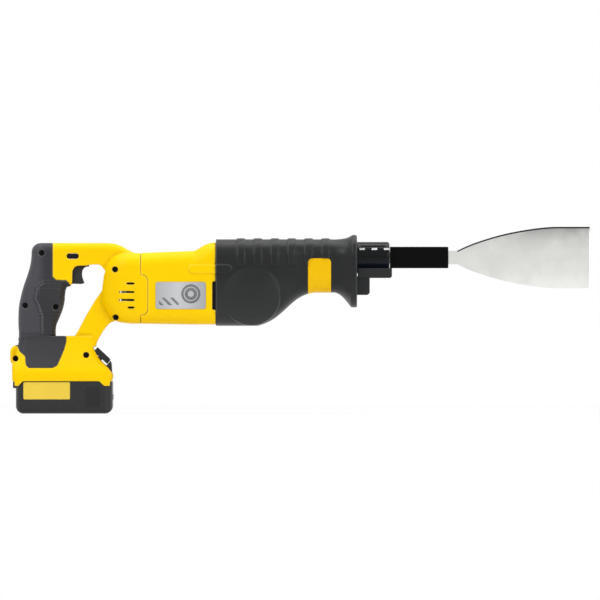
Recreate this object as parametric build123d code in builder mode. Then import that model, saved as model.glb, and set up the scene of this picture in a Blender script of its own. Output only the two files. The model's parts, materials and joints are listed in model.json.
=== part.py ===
"""Cordless auto glass cut-out tool: a battery reciprocating tool with a wide flat cut-out blade.

Frame: +X runs forward to the blade's edge, +Z is up, and the right-hand side faces -Y.
The origin is the centre of the battery pack's base. All sizes are in millimetres.
"""

import os
from functools import cache

from build123d import *

os.makedirs("parts", exist_ok=True)

# Fits
RUN_GAP = 0.3  # between faces that slide past each other
FIT_GAP = 0.05  # radial, a shaft in its bore
SEAM_GAP = 0.15  # between fixed mouldings
SPLIT_GAP = 0.1  # between the right and left half of a split housing
REACH = 60.0  # how far a cutting tool runs to either side of the middle plane

# Reference axes
MOTOR_Z = 146.0  # motor axis, which the drive gear's axis crosses
SPINDLE_Z = 187.0  # axis of the reciprocating spindle and of the blade
GEAR_X = 228.0  # drive gear's axis

# Battery pack
PACK_LENGTH = 116.0
PACK_WIDTH = 76.0
PACK_CORNER = 12.0
PACK_EDGE = 6.0  # rounding along the flanks' lower edges
PACK_END_ROUND = 9.5  # rounding along the lower edges of the two ends
PACK_WALL = 2.2
TUB_HEIGHT = 38.2
PLUG_DEPTH = 5.0  # how far the upper cover reaches down into the tub
PACK_SHOULDER = 38.4  # where the pack goes up into the foot
PACK_TOP = 42.0
SHOULDER_INSET = 3.0
BUMPER_REACH = 3.5
BUMPER_HALF = 26.0
BUMPER_LOW = 30.5
PACK_RIB_FIRST = 26.0
PACK_RIB_PITCH = 2.6
PACK_RIB_COUNT = 7
PACK_RIB_WIDTH = 1.0
PACK_RIB_HEIGHT = 0.5
PACK_RIB_LOW = 8.0
PACK_RIB_HIGH = 32.0  # under the foot's lugs, which they pass when the pack slides
POST_X = 50.6
POST_Y = 29.6
POST_RADIUS = 3.6
POST_FOOT = 2.0
POST_TOP = 28.0
PACK_SCREW_RADIUS = 1.5
PACK_SCREW_HEAD = 2.4
PACK_SCREW_HEAD_HEIGHT = 2.0
PACK_SCREW_SEAT = 3.6
TOWER_HALF = 20.0
TOWER_REAR = -46.0
TOWER_FRONT = 57.0
RAIL_HALF = TOWER_HALF + 5.0
RAIL_LOW = 45.0
RAIL_HIGH = 49.0
TOWER_TOP = 52.0
CELL_RADIUS = 9.15
CELL_LENGTH = 65.0
CELL_PITCH = 18.7
CELL_LOW_Z = 12.0
CELLS_PER_ROW = 5
PACK_PLATE_LOW = 17.0
PACK_PLATE_REAR = -48.8
PACK_PLATE_FRONT = 7.0
PACK_PLATE_DEPTH = 1.0
PACK_PLATE_HIGH = TUB_HEIGHT - 0.6
HOLDER_Y = (20.0, 26.0)  # inner and outer face of each cell holder
HOLDER_END = 48.0

# Pack release button, on the pack's front tower
BUTTON_TOP = (39.8, 79.5)  # upper end of the sloping face, as X and Z
BUTTON_LOW = (55.9, 64.4)
BUTTON_HALF = 16.0
BUTTON_THICKNESS = 7.0
BUTTON_TRAVEL = 2.5
BUTTON_SIDE_GAP = 0.5  # between the button's lower end and the lip under it
LIP_DEPTH = 1.5  # how far the lip's edge lies below the button's face
NOTCH_REAR = 31.0  # back of the foot's notch for the button
NOTCH_TOP = 80.0
STEM_HALF_WIDTH = 6.0
STEM_HALF_HEIGHT = 3.0

# Pack terminals and charge gauge
TERMINAL_BLADE_Y = (-8.0, 0.0, 8.0)
TERMINAL_LOW = 44.5
TERMINAL_HIGH = 49.5
TERMINAL_FRONT = -34.0
TERMINAL_HALF = 0.4  # half thickness of a blade
TERMINAL = (-56.0, TOWER_REAR - RUN_GAP, -14.0, 14.0, 43.0, 51.0)
CONTACT_LENGTH = 4.7
CONTACT_HALF = 2.0
GAUGE_RADIUS = 3.5
GAUGE_Y = -14.0
GAUGE_Z = 20.0
GAUGE_DEPTH = 4.0
GAUGE_PROUD = 0.9
LENS_Y = (0.0, 6.0, 12.0)
LENS_DEPTH = 1.0
LENS_HALF_WIDTH = 1.5
LENS_HALF_HEIGHT = 2.5

# Handle shells, which carry the foot, the strut, the arm and the rear of the motor barrel
SHELL_WALL = 3.0
GRIP_SKIN = 2.5
GRIP_ROUND = 11.0  # rounding over the top of the grip
FOOT_HALF = 39.5
FOOT_PLAN = (-62.5, 58.0, FOOT_HALF, 6.0)  # rear, front, half width and corner at the foot's base
FOOT_TOP = 93.0
ARM_TOP = 204.4
ARM_LOW = 151.6
ARM_HALF = 18.5
STRUT_HALF = 15.0
SHELL_END = 91.6  # seam between the handle shells and the motor housing
TONGUE_LENGTH = 8.4
TONGUE_LOW = 118.0
TONGUE_HIGH = 166.0
TONGUE_CORNER = 7.0
EAR_REAR = -65.2
EAR_TOP = 82.0
SHELL_BOSS = 5.2
# X, Z and the depth of the head's seat below the middle plane, for each screw that joins the handle shells
SHELL_SCREWS = [
    (-27.2, 192.4, 15.0),
    (-47.0, 129.4, 13.0),
    (-10.4, 127.6, 13.4),
    (61.0, 172.6, 28.5),
    (61.6, 115.2, 23.0),
    (26.2, 70.0, 23.0),
    (-58.4, 65.8, 9.5),
]
GRIP_SCREWS = SHELL_SCREWS[:3]
SHELL_SCREW_END = 12.0

# Air slots at the rear of the motor barrel, on a raised half-round panel
VENTS = [(155.8, 10.0), (145.6, 19.0), (136.0, 19.0), (127.0, 8.5)]  # height and length of each slot
VENT_SLOT_HALF = 1.1
VENT_FRONT = 84.4
VENT_Z = 142.0
VENT_REACH = 22.0
VENT_HALF = 16.5
VENT_PANEL_HEIGHT = 0.7
VENT_SCREEN_Y = 31.0  # inner face of the screen behind the slots
EXHAUST_SCREEN_Y = 32.0
SCREEN_THICKNESS = 2.0
SCREEN_HALF = 19.0
SCREEN_MARGIN = 4.0  # how far a screen reaches past its slots

# Lugs at the foot's four lower corners, as X and Z outlines
LUG_TOP = 40.0
LUG_LOW = 32.8
LUG_EDGE = 38.6  # where a lug's sloping side meets the foot
LUG_REAR = [
    (-63.0, LUG_TOP), (-63.0, LUG_LOW + 2), (-61.0, LUG_LOW), (-54.5, LUG_LOW), (-49.5, LUG_EDGE),
    (-49.5, LUG_TOP),
]
LUG_FRONT = [
    (41.8, LUG_TOP), (41.8, LUG_EDGE), (47.5, LUG_LOW), (56.0, LUG_LOW), (59.0, LUG_LOW + 3),
    (59.0, LUG_TOP),
]

# Raised panel and finger ridges on the grip's flanks
PANEL_OUTLINE = [
    (-24.0, 155.5), (-30.0, 151.0), (-32.4, 138.0), (-27.0, 126.0), (-24.4, 118.0), (-24.0, 99.0),
    (-15.5, 99.0), (-14.0, 108.0), (-9.0, 118.0), (-4.5, 128.0), (-3.5, 150.0), (-8.0, 155.5),
]
PANEL_HEIGHT = 1.2
PANEL_STEP = 4.2  # width of the lower step round the panel
FLANK = 6.0  # the panel starts this far from the middle plane
RIDGE_HEIGHT = 0.5
RIDGE_WIDTH = 1.5
RIDGE_COUNT = 12
RIDGE_PITCH = 2.7
RIDGE_SPAN = (-30.8, -5.0)
RIDGE_Z = 134.0

# Trigger and lock-off button
TRIGGER_HALF = 11.0
TRIGGER_TRAVEL = 6.0
TRIGGER_OUTLINE = [
    (5.0, 155.6), (20.5, 155.2), (23.8, 156.4), (22.8, 158.8), (21.2, 163.0), (20.8, 167.0), (21.2, 171.0),
    (23.0, 174.2), (25.6, 175.8), (29.2, 176.2), (29.2, 180.0), (5.0, 180.0),
]
SWITCH = (-33.6, -6.0, -9.0, 9.0, 161.0, 182.0)
LOCK_X = 10.0
LOCK_Z = 188.6
LOCK_LENGTH = 14.5
LOCK_HEIGHT = 6.6
LOCK_TRAVEL = 4.5
PLUNGER_DEPTH = 10.0
PLUNGER_RADIUS = 3.0
PLUNGER_Z = 168.0

# Motor housing, boot and gear case
BARREL_HALF = 38.0
BARREL_LOW = 107.6
BARREL_HIGH = 192.4
BARREL_CORNER = 17.0
HUMP_REAR = 152.0
HUMP_HIGH = 205.0
EXHAUST_REAR = 177.4
EXHAUST_LOW = 124.3
EXHAUST_HIGH = 158.2
BOSS_REAR = 149.0
BOSS_LOW = 168.2
BOSS_HIGH = 178.2
BOSS_HEIGHT = 1.6
BOSS_CORNER = 4.9
LABEL_REAR = 109.6
LABEL_FRONT = 169.6
LABEL_LOW = 125.2
LABEL_HIGH = 157.6
LABEL_THICKNESS = 0.4
BOOT_REAR = 181.6
BOOT_FRONT = 350.8
BOOT_TAB_FRONT = 200.6
BOOT_WALL = 3.0
BOOT_HALF = 41.0
BOOT_LOW = 105.0
BOOT_HIGH = 208.8
BOOT_CORNER = 22.0
NECK_REAR = 300.0
NECK_FRONT = 320.0
NECK_HALF = 31.5
NECK_LOW = 144.8
NECK_CORNER = 20.0
LIP_REAR = 343.6
LIP_HALF = 41.0
LIP_LOW = 127.0
LIP_HIGH = 214.2
LIP_CORNER = 26.0
LIP_ROUND = 2.5
DOME_X = 224.0
DOME_Z = 140.5
DOME_RADIUS = 35.0
DOME_HEIGHT = 4.5
DOME_LIMIT = DOME_HEIGHT + 0.6  # the most that a dome stands out of the tapering flank
RIB_FIRST = 211.6
RIB_PITCH = 20.3
RIB_COUNT = 6
RIB_WIDTH = 9.0
RIB_HEIGHT = 1.3
RIB_LOW = 177.0
BADGE_REAR = 292.0
BADGE_FRONT = 319.6
BADGE_HIGH = 186.0
BADGE_DEPTH = 1.2
BADGE_CORNER = 5.0
CASE_WALL = 4.0
CASE_REAR = 190.0
CASE_FRONT = 348.0
NOSE_REAR = 312.0  # where the case's front block starts
CASE_BOSS = 4.2
# X, Z and the depth of the head's seat below the middle plane; the last two need a boss
CASE_SCREWS = [(322.0, 158.0, 22.0), (271.0, 160.0, 28.0), (196.0, 201.0, 20.0), (196.0, 114.0, 26.0)]
CASE_SCREW_END = 16.0

# Motor
CAN_RADIUS = 28.5
CAN_WALL = 2.0
CAN_REAR = 98.0
CAN_FRONT = 160.0
SHAFT_RADIUS = 4.0
BEARING_RADIUS = 11.0
BEARING_WIDTH = 7.0
REAR_BEARING_X = 68.0
FRONT_BEARING_X = 182.6
BEARING_FACE = REAR_BEARING_X + BEARING_WIDTH
COMMUTATOR_RADIUS = 10.0
FAN_RADIUS = 27.0
FAN_REAR = 163.0
FAN_FRONT = 173.0
FAN_BLADES = 12
CORE_REAR = 108.0
CORE_FRONT = 148.0
CORE_RADIUS = 20.0
CORE_SLOTS = 12
MAGNET_GAP = 0.6
MAGNET_SPLIT = 6.0
COIL_LENGTH = 8.0
COIL_RADIUS = 18.0
COMMUTATOR_REAR = 80.0
COMMUTATOR_FRONT = 95.0
BRUSH_REAR = 82.5
BRUSH_FRONT = 91.5
BRUSH_TIP = 23.0
BRUSH_HOLDER_INNER = 12.0
BRUSH_HOLDER_OUTER = 25.0
BRUSH_HOLDER_HALF = 6.0
BRUSH_HALF = 4.0
BRUSH_PLATE_REAR = CAN_REAR - 4.0

# Drive: a pinion on the motor shaft turns a face gear, whose crank pin drives the spindle's yoke
MODULE = 1.5
PINION_TEETH = 8
PINION_REAR = 196.6
PINION_FRONT = 202.4
PINION_SHAFT_RADIUS = 3.0
GEAR_TEETH = 40
GEAR_INNER = 26.0
GEAR_OUTER = 31.0
STROKE = 28.6
CRANK_PIN_RADIUS = 4.0
ROLLER_RADIUS = 6.5
AXLE_RADIUS = 5.0
SPINDLE_RADIUS = 8.0
SPINDLE_REAR = 213.0
SPINDLE_FRONT = 352.0
YOKE_HALF = 10.0
YOKE_THICKNESS = 7.0
BUSH_WALL = 4.0
REAR_BUSH_X = 262.0
FRONT_BUSH_X = 313.0
BUSH_LENGTH = 18.0

# Blade, clamp and shoe
BLADE_TIP = 631.6
BLADE_WIDTH = 73.6
BLADE_THICKNESS = 1.6
# X and half height along the blade's flare
BLADE_FLARE = [
    (471.2, 8.1), (481.6, 13.2), (491.2, 17.1), (500.8, 20.4), (520.0, 26.2), (539.2, 30.6), (558.4, 33.9),
    (577.6, 36.2), (590.0, BLADE_WIDTH / 2),
]
BLADE_CORNER = 2.0
EDGE_HALF = 0.15
EDGE_BEVEL_WIDTH = 2.2
BACK_BEVEL_WIDTH = 1.9  # ground bevel along the flare's upper edge
BACK_BEVEL_DEPTH = 0.6
TANG_REAR = 362.0
TANG_HALF = 7.0
SLEEVE_REAR = 390.3
SLEEVE_FRONT = 460.4
SLEEVE_HEIGHT = 25.8
SLEEVE_THICKNESS = 7.0
CLAMP_RADIUS = 12.0
CLAMP_PIN_X = 372.0
CLAMP_PIN_RADIUS = 2.0
COLLAR_RADIUS = 18.8
COLLAR_REAR = 349.5
COLLAR_FRONT = 389.8
COLLAR_NOTCHES = 8
COLLAR_NOTCH_HALF = 1.2
COLLAR_NOTCH_DEPTH = 0.9
SHOE_REAR = 351.6
SHOE_FRONT = 392.6
SHOE_LOW = 162.4
SHOE_HIGH = 174.2
SHOE_HALF = 23.0
SHOE_LEG_FRONT = 366.0
SHOE_LEG_LOW = 142.0
SHOE_TOE_ROUND = 4.0
SHOE_FRONT_ROUND = 3.0
SHOE_SCREWS = [(-11.0, 152.0), (11.0, 152.0)]  # Y and Z
SHOE_SCREW_END = 338.0

# Screws
SCREW_RADIUS = 2.0
SCREW_HEAD_RADIUS = 3.3
SCREW_HEAD_HEIGHT = 2.4
SCREW_RECESS = 3.6


# Shape helpers


def cross_plane(x, z=0.0):
    """A plane across the X axis, whose own axes run along Y and Z."""
    return Plane(origin=(x, 0, z), x_dir=(0, 1, 0), z_dir=(1, 0, 0))


def rod_x(x_from, x_to, radius, y=0.0, z=MOTOR_Z):
    with BuildPart() as rod:
        with BuildSketch(cross_plane(x_from, z)):
            with Locations((y, 0)):
                Circle(radius)
        extrude(amount=x_to - x_from)
    return rod.part


def rod_y(y_from, y_to, radius, x, z):
    with BuildPart() as rod:
        with BuildSketch(Plane.XZ.offset(-y_to)):
            with Locations((x, z)):
                Circle(radius)
        extrude(amount=y_to - y_from)
    return rod.part


def rod_z(z_from, z_to, radius, x, y):
    with BuildPart() as rod:
        with BuildSketch(Plane.XY.offset(z_from)):
            with Locations((x, y)):
                Circle(radius)
        extrude(amount=z_to - z_from)
    return rod.part


def block(x_from, x_to, y_from, y_to, z_from, z_to):
    with BuildPart() as solid:
        with Locations(((x_from + x_to) / 2, (y_from + y_to) / 2, (z_from + z_to) / 2)):
            Box(x_to - x_from, y_to - y_from, z_to - z_from)
    return solid.part


def across(x_from, x_to):
    """Everything above the battery pack between two cross planes."""
    return block(x_from, x_to, -REACH, REACH, 60.0, 260.0)


def slab(outline, y_from=-REACH, y_to=REACH, grow=0.0):
    """A plate with the given X and Z outline, widened all round by grow."""
    with BuildPart() as plate:
        with BuildSketch(Plane.XZ.offset(-y_to)):
            with BuildLine():
                Polyline(*outline, close=True)
            make_face()
            if grow > 0:
                offset(amount=grow, kind=Kind.INTERSECTION)
        extrude(amount=y_to - y_from)
    return plate.part


def rounded_slab(x_from, x_to, z_from, z_to, corner, y_from=-REACH, y_to=REACH):
    with BuildPart() as plate:
        with BuildSketch(Plane.XZ.offset(-y_to)):
            with Locations(((x_from + x_to) / 2, (z_from + z_to) / 2)):
                RectangleRounded(x_to - x_from, z_to - z_from, corner)
        extrude(amount=y_to - y_from)
    return plate.part


def loft_x(stations, inset=0.0, straight=False):
    """A body through rounded sections along X. A station is x, low z, high z, half width, corner."""
    with BuildPart() as body:
        for x, low, high, half, corner in stations:
            with BuildSketch(cross_plane(x, (low + high) / 2)):
                RectangleRounded(2 * (half - inset), high - low - 2 * inset, max(corner - inset, 1.0))
        loft(ruled=straight)
    return body.part


def loft_z(stations, inset=0.0):
    """A body through rounded sections along Z. A station is z, left x, right x, half width, corner."""
    with BuildPart() as body:
        for z, left, right, half, corner in stations:
            with BuildSketch(Plane(origin=((left + right) / 2, 0, z))):
                RectangleRounded(right - left - 2 * inset, 2 * (half - inset), max(corner - inset, 1.0))
        loft()
    return body.part


def union(*solids):
    with BuildPart() as whole:
        for solid in solids:
            add(solid)
    return whole.part


def raised(form, height, tool):
    """The skin of a form between its surface and a height above it, inside a cutting tool."""
    return (form(-height) - form(0.0)) & tool


def save(part, label):
    part.label = label
    export_step(part, f"parts/{label}.step")


# Outer forms. Each takes an inset, so that a wall is one form less its inset form.


@cache
def barrel_form(inset=0.0):
    section = (BARREL_LOW, BARREL_HIGH, BARREL_HALF, BARREL_CORNER)
    dome = [
        (43.0, 134.0, 164.0, 14.0, 10.0),
        (45.0, 129.0, 170.0, 18.0, 13.0),
        (50.0, 120.0, 180.0, 25.0, 16.0),
        (58.0, 112.5, 187.5, 32.0, BARREL_CORNER),
        (68.0, 109.0, 191.6, 36.6, BARREL_CORNER),
        (80.0, *section),
    ]
    hump_low = BARREL_LOW - 1.0
    hump_foot = (hump_low, BARREL_HIGH + 2.4, BARREL_HALF, BARREL_CORNER)
    hump = [
        (HUMP_REAR, *hump_foot),
        (157.0, hump_low, 195.6, BARREL_HALF + 0.1, BARREL_CORNER),
        (163.0, hump_low, 199.0, BARREL_HALF + 0.5, BARREL_CORNER),
        (169.0, hump_low, 202.4, BARREL_HALF + 1.0, BARREL_CORNER),
        (175.0, hump_low, 204.4, BARREL_HALF + 1.3, BARREL_CORNER),
        (BOOT_REAR, hump_low, HUMP_HIGH, BARREL_HALF + 1.4, BARREL_CORNER),
    ]
    return union(
        loft_x(dome, inset),
        loft_x([dome[-1], (SHELL_END, *section), hump[0]], inset, straight=True),
        loft_x(hump, inset),
    )


@cache
def arm_form(inset=0.0):
    section = (ARM_HALF, 9.0)
    rear = [(-14.0, ARM_LOW, ARM_TOP, *section), (44.6, ARM_LOW, ARM_TOP, *section)]
    front = [
        rear[-1],
        (53.0, ARM_LOW, 204.2, *section),
        (62.1, ARM_LOW, 203.0, *section),
        (69.0, ARM_LOW, 200.4, *section),
        (76.0, ARM_LOW, 196.4, *section),
        (83.0, ARM_LOW, 193.0, *section),
        (89.0, ARM_LOW, 191.6, *section),
    ]
    return union(loft_x(rear, inset, straight=True), loft_x(front, inset))


@cache
def grip_form(inset=0.0):
    stations = [
        (88.0, -56.0, -10.6, 18.5, 13.0),
        (96.0, -54.8, -10.6, 18.0, 13.0),
        (104.0, -55.3, -10.2, 18.0, 13.0),
        (114.0, -55.5, -7.0, 18.5, 14.0),
        (126.0, -55.0, -2.4, 19.5, 15.0),
        (138.0, -53.0, 0.0, 20.0, 15.0),
        (150.0, -50.0, 2.5, 20.0, 15.0),
        (162.0, -46.0, 3.0, 19.8, 15.0),
        (178.0, -41.2, 3.0, 19.5, 15.0),
        (194.0, -39.6, 3.0, 19.5, 15.0),
        (ARM_TOP, -38.6, 3.0, 19.5, 15.0),
    ]
    if inset > 0:
        stations[-1] = (ARM_TOP - inset, *stations[-1][1:])
    with BuildPart() as body:
        add(loft_z(stations, inset))
        # Forms larger than the grip only serve for detail on its flanks, so their top stays square
        if inset >= 0:
            top = body.edges().group_by(Axis.Z)[-1]
            fillet(top, max(GRIP_ROUND - inset, 3.0))
    return body.part


@cache
def foot_form(inset=0.0):
    rear = FOOT_PLAN[0]
    base = [(PACK_SHOULDER + RUN_GAP, *FOOT_PLAN), (47.0, *FOOT_PLAN)]
    flare = [
        base[-1],
        (51.0, rear, 55.6, 38.8, 7.0),
        (58.0, rear, 49.2, 35.2, 8.5),
        (66.0, -60.0, 41.6, 30.0, 10.0),
        (76.0, -57.0, 38.4, 24.5, 10.0),
        (86.0, -55.0, 38.0, 20.0, 10.0),
        (FOOT_TOP, -54.0, 38.0, 18.5, 10.0),
    ]
    return union(loft_z(base, inset), loft_z(flare, inset))


STRUT_FRONT = [(54.4, 108.4), (50.8, 104.8), (47.2, 100.0), (43.6, 94.0), (40.0, 88.0), (37.6, 82.0)]
STRUT_REAR = [(12.4, 92.8), (16.0, 98.8), (26.8, 119.2), (37.6, 137.2), (44.8, 146.8)]


@cache
def strut_form(inset=0.0):
    outline = [(62.0, 150.0), (62.0, BARREL_LOW + 4), *STRUT_FRONT, (36.0, 74.0), (12.4, 74.0), *STRUT_REAR]
    with BuildPart() as body:
        with BuildSketch(Plane.XZ.offset(-(STRUT_HALF - inset))):
            with BuildLine():
                Polyline(*outline, close=True)
            make_face()
            if inset > 0:
                offset(amount=-inset, kind=Kind.INTERSECTION)
        extrude(amount=2 * (STRUT_HALF - inset))
    return body.part


def ear_form():
    with BuildPart() as body:
        add(rounded_slab(EAR_REAR, -48.0, 57.0, EAR_TOP, 8.0, -14.0, 14.0))
        fillet(body.edges().group_by(Axis.Y)[0] + body.edges().group_by(Axis.Y)[-1], 3.0)
    return body.part


@cache
def boot_form(inset=0.0, front=BOOT_FRONT):
    rear_section = (BOOT_LOW, BOOT_HIGH, BOOT_HALF, BOOT_CORNER)
    neck_section = (NECK_LOW, BOOT_HIGH, NECK_HALF, NECK_CORNER)
    taper = [
        (232.0, *rear_section),
        (242.0, 108.5, BOOT_HIGH, 40.6, 22.0),
        (256.0, 117.0, BOOT_HIGH, 39.0, 21.0),
        (270.0, 129.5, BOOT_HIGH, 36.4, NECK_CORNER),
        (284.0, 140.0, BOOT_HIGH, 33.4, NECK_CORNER),
        (294.0, 143.8, BOOT_HIGH, 31.8, NECK_CORNER),
        (NECK_REAR, *neck_section),
    ]
    flare = [
        (NECK_FRONT, *neck_section),
        (327.0, 144.0, BOOT_HIGH, 31.8, NECK_CORNER),
        (333.0, 140.0, BOOT_HIGH + 0.6, 33.4, 21.0),
        (338.5, 134.0, BOOT_HIGH + 1.8, 36.0, 23.0),
        (LIP_REAR, LIP_LOW + 0.4, LIP_HIGH - 1.0, 40.0, 25.0),
    ]
    return union(
        loft_x([(BOOT_REAR, *rear_section), taper[0]], inset, straight=True),
        loft_x(taper, inset),
        loft_x([taper[-1], flare[0]], inset, straight=True),
        loft_x(flare, inset),
        loft_x([flare[-1], (front, *flare[-1][1:])], inset, straight=True),
    )


def dome_form():
    """Low spherical bulges over the drive gear, one on each flank of the boot."""
    ball = (DOME_RADIUS ** 2 + DOME_HEIGHT ** 2) / (2 * DOME_HEIGHT)
    with BuildPart() as bulge:
        with Locations((DOME_X, BOOT_HALF + DOME_HEIGHT - ball, DOME_Z)):
            Sphere(ball)
        add(rod_y(FLANK, REACH, DOME_RADIUS, DOME_X, DOME_Z), mode=Mode.INTERSECT)
        mirror(about=Plane.XZ)
    return boot_form(-DOME_LIMIT) & bulge.part


# Zones that split the forms into mouldings

shell_zone = union(
    slab([(-80.0, 20.0), (SHELL_END, 20.0), (SHELL_END, 230.0), (-80.0, 230.0)]),
    rounded_slab(SHELL_END - 20, SHELL_END + TONGUE_LENGTH, TONGUE_LOW, TONGUE_HIGH, TONGUE_CORNER),
)
GRIP_OUTLINE = [
    (-14.4, 215.0), (-14.4, 164.0), (-10.0, 159.5), (2.4, 159.5), (8.2, 152.2), (8.2, 96.0), (-0.6, 94.6),
    (2.1, 91.6), (2.1, 86.2), (-0.6, 76.0), (-4.9, 65.8), (-8.5, 57.7), (-13.6, 54.8), (-42.7, 54.8),
    (-45.9, 58.6), (-46.8, 68.8), (-53.6, 74.5), (-56.0, 81.0), (-75.0, 84.0), (-75.0, 215.0),
]
OPENING_OUTLINE = [
    (2.8, 151.6), (7.5, 152.8), (9.2, 157.0), (9.6, 171.0), (12.0, 175.4), (16.0, 177.2), (25.6, 177.2),
    (32.8, 178.6), (40.0, 178.6), (43.6, 177.4), (47.2, 173.2), (49.0, 170.2), (47.2, 166.0),
    *reversed(STRUT_REAR), (9.0, 93.2), (-10.0, 93.2), (-9.8, 100.7), (-8.5, 110.9), (-3.4, 122.5),
    (-0.6, 132.7), (1.0, 147.2),
]
opening_tool = slab(OPENING_OUTLINE)

# Handle shells and grips

def handle_union(inset):
    return union(grip_form(inset), arm_form(inset), foot_form(inset))


def screw_cuts(spots, end):
    """Head recess, clearance hole and thread hole for screws that run along Y from the right side."""
    tools = []
    for x, z, seat in spots:
        tools.append(rod_y(-REACH, -seat, SCREW_RECESS, x, z))
        tools.append(rod_y(-seat, 0.0, SCREW_RADIUS + RUN_GAP, x, z))
        tools.append(rod_y(0.0, end + 1.0, SCREW_RADIUS + FIT_GAP, x, z))
    return union(*tools)


def screws_along_y(spots, end):
    bodies = []
    for x, z, seat in spots:
        head = rod_y(-seat - SCREW_HEAD_HEIGHT, -seat, SCREW_HEAD_RADIUS, x, z)
        bodies.append(head - hex_socket(x, z, seat))
        bodies.append(rod_y(-seat, end, SCREW_RADIUS, x, z))
    return union(*bodies)


def hex_socket(x, z, seat):
    with BuildPart() as socket:
        with BuildSketch(Plane.XZ.offset(seat + SCREW_HEAD_HEIGHT / 3)):
            with Locations((x, z)):
                RegularPolygon(SCREW_RADIUS * 0.8, 6)
        extrude(amount=SCREW_HEAD_HEIGHT)
    return socket.part


def flank_zone(outline, grow=0.0):
    """A plate of the given outline on each side of the tool, clear of the middle."""
    return union(slab(outline, FLANK, REACH, grow), slab(outline, -REACH, -FLANK, grow))


POCKET_ROOF = TOWER_TOP + RUN_GAP
FOOT_FLOOR = POCKET_ROOF + 4.0
RIGHT = block(-100.0, 700.0, -REACH, -SPLIT_GAP / 2, -20.0, 260.0)
LEFT = block(-100.0, 700.0, SPLIT_GAP / 2, REACH, -20.0, 260.0)

# The pack's shoulder, tower and rails slide in from the front, so their pocket is open there
pack_pocket = union(
    block(-PACK_LENGTH / 2 + SHOULDER_INSET - RUN_GAP, 80.0, -PACK_WIDTH / 2 + SHOULDER_INSET - RUN_GAP,
          PACK_WIDTH / 2 - SHOULDER_INSET + RUN_GAP, 30.0, PACK_TOP + RUN_GAP),
    block(TOWER_REAR - RUN_GAP, 80.0, -TOWER_HALF - RUN_GAP, TOWER_HALF + RUN_GAP, 40.0, POCKET_ROOF),
    block(TOWER_REAR - RUN_GAP, 80.0, -RAIL_HALF - RUN_GAP, RAIL_HALF + RUN_GAP, RAIL_LOW - RUN_GAP,
          RAIL_HIGH + RUN_GAP),
    block(NOTCH_REAR, 80.0, -TOWER_HALF - RUN_GAP, TOWER_HALF + RUN_GAP, 40.0, NOTCH_TOP),
)
trigger_pocket = block(-1.8, 29.6, -TRIGGER_HALF - RUN_GAP, TRIGGER_HALF + RUN_GAP, 154.0, 180.3)
lock_slot = rounded_slab(
    LOCK_X - LOCK_LENGTH / 2, LOCK_X + LOCK_LENGTH / 2, LOCK_Z - LOCK_HEIGHT / 2, LOCK_Z + LOCK_HEIGHT / 2,
    LOCK_HEIGHT / 2 - 0.05,
)
vents = union(
    *(rounded_slab(VENT_FRONT - length, VENT_FRONT, z - VENT_SLOT_HALF, z + VENT_SLOT_HALF, 1.0)
      for z, length in VENTS)
)

with BuildPart() as vent_zone:
    with BuildSketch(Plane.XZ.offset(-REACH)):
        with Locations((VENT_FRONT, VENT_Z)):
            Ellipse(VENT_REACH, VENT_HALF)
    extrude(amount=2 * REACH)
    add(across(VENT_FRONT, VENT_FRONT + REACH), mode=Mode.SUBTRACT)
vent_panel = raised(barrel_form, VENT_PANEL_HEIGHT, vent_zone.part)

# Lugs at the foot's four lower corners reach a little way down the pack's flanks
foot_skirt = loft_z([(30.0, *FOOT_PLAN), (LUG_TOP + 1, *FOOT_PLAN)]) - block(
    -80.0, 80.0, -PACK_WIDTH / 2 - RUN_GAP, PACK_WIDTH / 2 + RUN_GAP, 20.0, 60.0
)
lugs = foot_skirt & union(slab(LUG_REAR), slab(LUG_FRONT))
outer = union(grip_form(), arm_form(), foot_form(), strut_form(), ear_form(), barrel_form(), vent_panel, lugs)
outer = (outer - opening_tool) & shell_zone
opening_wall = slab(OPENING_OUTLINE, grow=SHELL_WALL)
cavity = union(
    grip_form(GRIP_SKIN + SHELL_WALL),
    arm_form(GRIP_SKIN + SHELL_WALL),
    foot_form(GRIP_SKIN + SHELL_WALL) & block(-80.0, 80.0, -REACH, REACH, FOOT_FLOOR, FOOT_TOP),
    strut_form(SHELL_WALL),
) - opening_wall - block(NOTCH_REAR - SHELL_WALL, 80.0, -REACH, REACH, 30.0, NOTCH_TOP + SHELL_WALL)
barrel_cavity = barrel_form(SHELL_WALL)
switch_ribs = cavity & union(
    block(-34.0, -31.0, -REACH, REACH, 158.0, 185.0),
    block(-13.0, -10.0, -REACH, REACH, 158.0, 185.0),
)
bearing_wall = barrel_cavity & across(REAR_BEARING_X - 2.0, BEARING_FACE)
bearing_wall = bearing_wall - rod_x(REAR_BEARING_X, REAR_BEARING_X + 10.0, BEARING_RADIUS + FIT_GAP)
bearing_wall = bearing_wall - rod_x(REAR_BEARING_X - 5.0, REAR_BEARING_X + 1.0, BEARING_RADIUS - 3.0)
bosses = union(*(rod_y(-REACH, REACH, SHELL_BOSS, x, z) for x, z, seat in SHELL_SCREWS))
skin_core = handle_union(GRIP_SKIN)
grip_cut = slab(GRIP_OUTLINE, grow=SEAM_GAP) - skin_core
shell = (outer - grip_cut) - (cavity - bosses) - (barrel_cavity - bosses)
shell = union(shell, switch_ribs - block(*SWITCH), bearing_wall)
shell = shell - pack_pocket - block(*TERMINAL) - trigger_pocket - lock_slot - vents
shell = shell - screw_cuts(SHELL_SCREWS, SHELL_SCREW_END)

with BuildPart() as handle_shell_right:
    add(shell & RIGHT)
save(handle_shell_right.part, "handle_shell_right")

with BuildPart() as handle_shell_left:
    add(shell & LEFT)
save(handle_shell_left.part, "handle_shell_left")

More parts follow.
